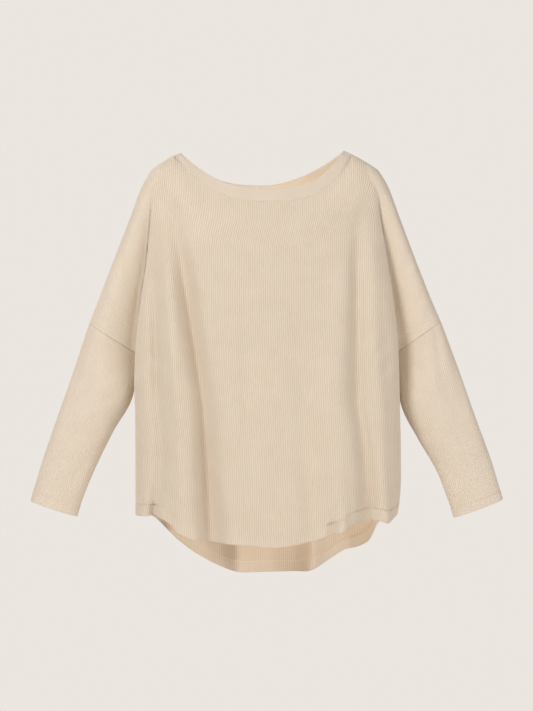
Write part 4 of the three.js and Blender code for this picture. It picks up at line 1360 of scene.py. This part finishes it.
def make_lights(stage):
    """Large soft key light at the upper left, a weak fill at the right and one behind."""
    for name, power, size, place in (
        ("key", stage.key_power, 1.1, (-1.9, -2.4, 1.2)),
        ("fill", stage.fill_power, 2.4, (2.2, -2.5, -0.6)),
        ("back", stage.rim_power, 2.0, (-1.2, 2.6, 1.4)),
    ):
        light = bpy.data.lights.new(name, "AREA")
        light.energy = power
        light.size = size
        lamp = bpy.data.objects.new(name, light)
        lamp.location = place
        target = np.array(LIGHT_TARGET) - np.array(place)
        lamp.rotation_euler = (math.atan2(math.hypot(target[0], target[1]), -target[2]),
                               0, math.atan2(-target[0], target[1]))
        bpy.context.scene.collection.objects.link(lamp)


def make_inner_light(stage):
    """Weak light inside the garment, for what thin knit lets through."""
    light = bpy.data.lights.new("inside", "POINT")
    light.energy = stage.inner_power
    light.shadow_soft_size = INNER_LIGHT_RADIUS
    lamp = bpy.data.objects.new("inside", light)
    lamp.location = INNER_LIGHT_PLACE
    bpy.context.scene.collection.objects.link(lamp)


def make_world(colours):
    """Plain backdrop that the camera sees, and a weaker even light of the same colour."""
    world = bpy.data.worlds.new("surroundings")
    world.use_nodes = True
    tree = world.node_tree
    ambient = tree.nodes["Background"]
    ambient.inputs["Color"].default_value = (*colours.backdrop, 1)
    ambient.inputs["Strength"].default_value = AMBIENT
    backdrop = node(tree, "ShaderNodeBackground", (0, -200))
    backdrop.inputs["Color"].default_value = (*colours.backdrop, 1)
    seen = node(tree, "ShaderNodeLightPath", (0, 300))
    blend = node(tree, "ShaderNodeMixShader", (300, 0))
    tree.links.new(seen.outputs["Is Camera Ray"], blend.inputs[0])
    tree.links.new(ambient.outputs[0], blend.inputs[1])
    tree.links.new(backdrop.outputs[0], blend.inputs[2])
    tree.links.new(blend.outputs[0], tree.nodes["World Output"].inputs[0])
    bpy.context.scene.world = world
    bpy.context.scene.view_settings.view_transform = "Standard"


def make_camera():
    """Camera straight in front of the garment, framed as the photograph is."""
    data = bpy.data.cameras.new("camera")
    data.sensor_width = SENSOR
    data.lens = SENSOR * CAMERA_DISTANCE / (IMAGE_HEIGHT * PIXEL_SIZE * MM)
    camera = bpy.data.objects.new("camera", data)
    camera.location = (0, -CAMERA_DISTANCE, CAMERA_HEIGHT)
    camera.rotation_euler = (math.pi / 2, 0, 0)
    bpy.context.scene.collection.objects.link(camera)
    bpy.context.scene.camera = camera


class ThermalTopSidebar(bpy.types.Panel):
    """Sidebar with the garment's settings and makers."""
    bl_idname = "VIEW3D_PT_thermal_top"
    bl_label = "Thermal top"
    bl_space_type = "VIEW_3D"
    bl_region_type = "UI"
    bl_category = "Thermal top"

    def draw(self, context):
        layout = self.layout
        for group in (context.scene.thermal_top_sizes, context.scene.thermal_top_colours,
                      context.scene.thermal_top_stage):
            box = layout.box()
            for name in group.__annotations__:
                box.prop(group, name)
        for maker in MAKERS:
            layout.operator(maker.bl_idname)


SETTINGS = (ThermalTopSizes, ThermalTopColours, ThermalTopStage)
MAKERS = (ThermalTopPanels, ThermalTopSleeves, ThermalTopNeckband, ThermalTopStitches, ThermalTopStageMaker)


def register():
    for kind in (*SETTINGS, *MAKERS, ThermalTopSidebar):
        bpy.utils.register_class(kind)
    bpy.types.Scene.thermal_top_sizes = PointerProperty(type=ThermalTopSizes)
    bpy.types.Scene.thermal_top_colours = PointerProperty(type=ThermalTopColours)
    bpy.types.Scene.thermal_top_stage = PointerProperty(type=ThermalTopStage)


def unregister():
    del bpy.types.Scene.thermal_top_stage
    del bpy.types.Scene.thermal_top_colours
    del bpy.types.Scene.thermal_top_sizes
    for kind in reversed((*SETTINGS, *MAKERS, ThermalTopSidebar)):
        bpy.utils.unregister_class(kind)


def main():
    """Makes every piece and the stage."""
    register()
    bpy.ops.thermal_top.panels()
    bpy.ops.thermal_top.sleeves()
    bpy.ops.thermal_top.neckband()
    bpy.ops.thermal_top.stitches()
    bpy.ops.thermal_top.stage()


if __name__ == "__main__":
    main()
